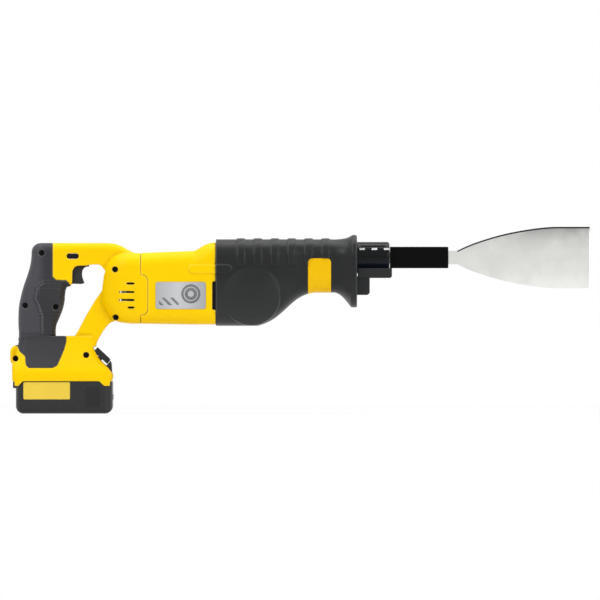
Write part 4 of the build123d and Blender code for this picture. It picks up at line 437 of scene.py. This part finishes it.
materials = {
    "yellow_shell": moulded(
        "yellow_nylon", YELLOW, roughness=0.36, grain=1500.0, depth=0.00005, tone=0.03, specular=0.08,
        painted_highlight=YELLOW_EDGE,
    ),
    "soft_grip": moulded(
        "soft_grip", GRIP_GREY, roughness=0.5, grain=1300.0, depth=0.00008, shadow=0.05, sheen=0.06,
        reach=FINE_REACH, painted_highlight=GRIP_EDGE, pattern=painted_panel_shading,
    ),
    "boot_rubber": moulded(
        "boot_rubber", BOOT_GREY, roughness=0.36, grain=900.0, depth=0.00004, tone=0.1, shadow=0.1, sheen=0.1,
        painted_highlight=BOOT_EDGE, pattern=painted_underside_light,
    ),
    "badge_yellow": moulded(
        "badge_yellow", YELLOW_BADGE, roughness=0.35, grain=900.0, depth=0.00002, tone=0.03, specular=0.08
    ),
    "label_silver": silver_label("label_silver", "motor_label_right"),
    "pack_black": moulded(
        "pack_black", PACK_GREY, roughness=0.28, grain=1400.0, depth=0.00004, specular=0.4, shadow=0.05,
        reach=FINE_REACH,
    ),
    "button_black": moulded(
        "button_black", BUTTON_BLACK, roughness=0.16, grain=700.0, depth=0.00001, coat=0.5
    ),
    "trigger_grey": moulded(
        "trigger_grey", TRIGGER_GREY, roughness=0.45, grain=1400.0, depth=0.00005, specular=0.3
    ),
    "black_oxide": moulded(
        "black_oxide", BRACKET_BLACK, roughness=0.36, grain=1100.0, depth=0.00003, specular=0.3
    ),
    "blade_steel": blade_with_painted_reflection("blade_steel"),
    "screw_steel": brushed("screw_steel", SCREW_STEEL, roughness=0.4, stretch=(8.0, 1.0, 8.0)),
    "bearing_steel": brushed("bearing_steel", BEARING_STEEL, roughness=0.25, stretch=(1.0, 12.0, 12.0)),
    "motor_steel": brushed("motor_steel", MOTOR_STEEL, roughness=0.35, stretch=(1.0, 10.0, 10.0)),
    "lamination": brushed("lamination", LAMINATION_GREY, roughness=0.5, stretch=(40.0, 1.0, 1.0)),
    "copper": brushed("copper", COPPER, roughness=0.3, stretch=(8.0, 1.0, 1.0)),
    "bronze": brushed("bronze", BRONZE, roughness=0.4, stretch=(1.0, 8.0, 8.0)),
    "seal_rubber": moulded("seal_rubber", SEAL_BLACK, roughness=0.6, grain=800.0, depth=0.00004),
    "cast_alloy": brushed("cast_alloy", CAST_ALLOY, roughness=0.5, stretch=(1.0, 1.0, 1.0)),
    "inner_plastic": moulded("inner_plastic", INNER_BLACK, roughness=0.5, grain=1000.0, depth=0.00004),
    "carbon": moulded("carbon", CARBON_BLACK, roughness=0.7, grain=1500.0, depth=0.00005),
    "cell_sleeve": moulded("cell_sleeve", CELL_BLUE, roughness=0.35, grain=600.0, depth=0.00002),
    "lens_green": moulded("lens_green", LENS_GREEN, roughness=0.2, grain=600.0, depth=0.00001),
}
# Nodes that look unlike the others of their slot
own_materials = {
    "clamp_collar": collar_gloss("collar_black", "clamp_collar"),
    "blade_holder": moulded(
        "sleeve_black", SLEEVE_BLACK, roughness=0.3, grain=1200.0, depth=0.00002, specular=0.06
    ),
    "housing_screws": moulded(
        "screw_black", SCREW_BLACK, roughness=0.35, grain=1200.0, depth=0.00002, specular=0.1, shadow=0.2
    ),
    "lock_off_button": moulded(
        "lock_black", SCREW_BLACK, roughness=0.4, grain=1400.0, depth=0.00004, specular=0.15
    ),
    "battery_plates": moulded(
        "plate_yellow", YELLOW_PLATE, roughness=0.35, grain=900.0, depth=0.00002, tone=0.03
    ),
}

for part in frame["record"]["subparts"]:
    shown = nodes[part["node"]].data.materials
    shown.clear()
    shown.append(own_materials.get(part["node"], materials[part["material_slot"]]))


# Softer edges on the mouldings, as modifiers on the shown meshes

SHELL_VOXEL = 0.0009
GRIP_VOXEL = 0.0006  # fine enough for the ridges
SMOOTH_FACTOR = 0.5
SMOOTH_ROUNDS = 2


def soften(node, voxel):
    """Gives a moulding small even faces, then rounds its edges."""
    remesh = nodes[node].modifiers.new("even_mesh", "REMESH")
    remesh.mode = "VOXEL"
    remesh.voxel_size = voxel
    remesh.use_smooth_shade = True
    smooth = nodes[node].modifiers.new("round_edges", "SMOOTH")
    smooth.factor = SMOOTH_FACTOR
    smooth.iterations = SMOOTH_ROUNDS


for node in ("handle_shell_right", "handle_shell_left", "motor_housing", "front_boot"):
    soften(node, SHELL_VOXEL)
for node in ("rear_grip_right", "rear_grip_left"):
    soften(node, GRIP_VOXEL)


# Stage: floor, light and camera

LIGHT_LEVEL = 0.34  # of the world, where it isn't seen straight or in a reflection
FLOOR_HALF = 40.0
FLOOR_Z = -0.0005
SHADOW_REACH = (0.5, 1.4)  # the floor takes real light up to the first distance, and none past the second
SHADOW_SHARE = 0.14
FLOOR_WHITE = (0.9, 0.9, 0.9, 1.0)
SKY_WHITE = (0.95, 0.97, 1.0, 1.0)
MIDDLE = (0.28, 0.0, 0.12)
# Name, place, size and power in watts of each lamp
SOFTBOXES = (
    ("top", (0.25, 0.1, 1.5), (2.4, 1.0), 22.0),
    ("front_left", (-1.0, -1.6, 1.5), (1.0, 1.0), 17.0),
    ("front_right", (1.7, -1.4, 0.8), (1.0, 1.0), 11.0),
)


def seen_directly(tree):
    """1 for rays that come from the camera, a reflection or a clear body."""
    rays = tree.nodes.new("ShaderNodeLightPath")
    seen = rays.outputs["Is Camera Ray"]
    for other in ("Is Glossy Ray", "Is Transmission Ray"):
        either = tree.nodes.new("ShaderNodeMath")
        either.operation = "MAXIMUM"
        tree.links.new(seen, either.inputs[0])
        tree.links.new(rays.outputs[other], either.inputs[1])
        seen = either.outputs[0]
    return seen


def floor_material():
    """White where it is seen, apart from a share of real light near the tool that keeps its shadow."""
    material = bpy.data.materials.new("floor")
    material.use_nodes = True
    tree = material.node_tree
    tree.nodes.clear()
    output = tree.nodes.new("ShaderNodeOutputMaterial")
    surface = tree.nodes.new("ShaderNodeBsdfDiffuse")
    surface.inputs["Color"].default_value = FLOOR_WHITE
    glow = tree.nodes.new("ShaderNodeEmission")
    away = tree.nodes.new("ShaderNodeVectorMath")
    away.operation = "DISTANCE"
    away.inputs[1].default_value = (MIDDLE[0], MIDDLE[1], FLOOR_Z)
    tree.links.new(tree.nodes.new("ShaderNodeNewGeometry").outputs["Position"], away.inputs[0])
    plain = tree.nodes.new("ShaderNodeMapRange")
    plain.inputs["From Min"].default_value, plain.inputs["From Max"].default_value = SHADOW_REACH
    plain.inputs["To Min"].default_value = 1 - SHADOW_SHARE
    tree.links.new(away.outputs["Value"], plain.inputs["Value"])
    share = tree.nodes.new("ShaderNodeMath")
    share.operation = "MULTIPLY"
    tree.links.new(seen_directly(tree), share.inputs[0])
    tree.links.new(plain.outputs["Result"], share.inputs[1])
    mix = tree.nodes.new("ShaderNodeMixShader")
    tree.links.new(share.outputs[0], mix.inputs["Fac"])
    tree.links.new(surface.outputs[0], mix.inputs[1])
    tree.links.new(glow.outputs[0], mix.inputs[2])
    tree.links.new(mix.outputs[0], output.inputs["Surface"])
    return material


mesh = bpy.data.meshes.new("floor")
corners = ((-1, -1), (1, -1), (1, 1), (-1, 1))
mesh.from_pydata([(x * FLOOR_HALF, y * FLOOR_HALF, FLOOR_Z) for x, y in corners], [], [(0, 1, 2, 3)])
mesh.materials.append(floor_material())
floor = bpy.data.objects.new("floor", mesh)
bpy.context.scene.collection.objects.link(floor)

world = bpy.data.worlds.new("studio")
bpy.context.scene.world = world
world.use_nodes = True
tree = world.node_tree
background = tree.nodes["Background"]
background.inputs["Color"].default_value = SKY_WHITE
background.inputs["Strength"].default_value = LIGHT_LEVEL
white = tree.nodes.new("ShaderNodeBackground")
white.inputs["Color"].default_value = WHITE
mix = tree.nodes.new("ShaderNodeMixShader")
tree.links.new(seen_directly(tree), mix.inputs["Fac"])
tree.links.new(background.outputs[0], mix.inputs[1])
tree.links.new(white.outputs[0], mix.inputs[2])
tree.links.new(mix.outputs[0], tree.nodes["World Output"].inputs["Surface"])


def softbox(name, place, size, power):
    """A flat lamp that faces the middle of the tool."""
    lamp = bpy.data.lights.new(name, "AREA")
    lamp.shape = "RECTANGLE"
    lamp.size, lamp.size_y = size
    lamp.energy = power
    holder = bpy.data.objects.new(name, lamp)
    holder.location = place
    holder.rotation_euler = (Vector(MIDDLE) - Vector(place)).to_track_quat("-Z", "Y").to_euler()
    bpy.context.scene.collection.objects.link(holder)


for lamp in SOFTBOXES:
    softbox(*lamp)

lens = bpy.data.cameras.new("camera")
lens.sensor_width = SENSOR
lens.lens = SENSOR * CAMERA_DISTANCE / VIEW_WIDTH
lens.clip_end = 2 * FLOOR_HALF
camera = bpy.data.objects.new("camera", lens)
camera.location = (VIEW_CENTRE[0], -CAMERA_DISTANCE, VIEW_CENTRE[1])
camera.rotation_euler = (math.pi / 2, 0, 0)
bpy.context.scene.collection.objects.link(camera)
bpy.context.scene.camera = camera
bpy.context.scene.view_settings.view_transform = "Standard"
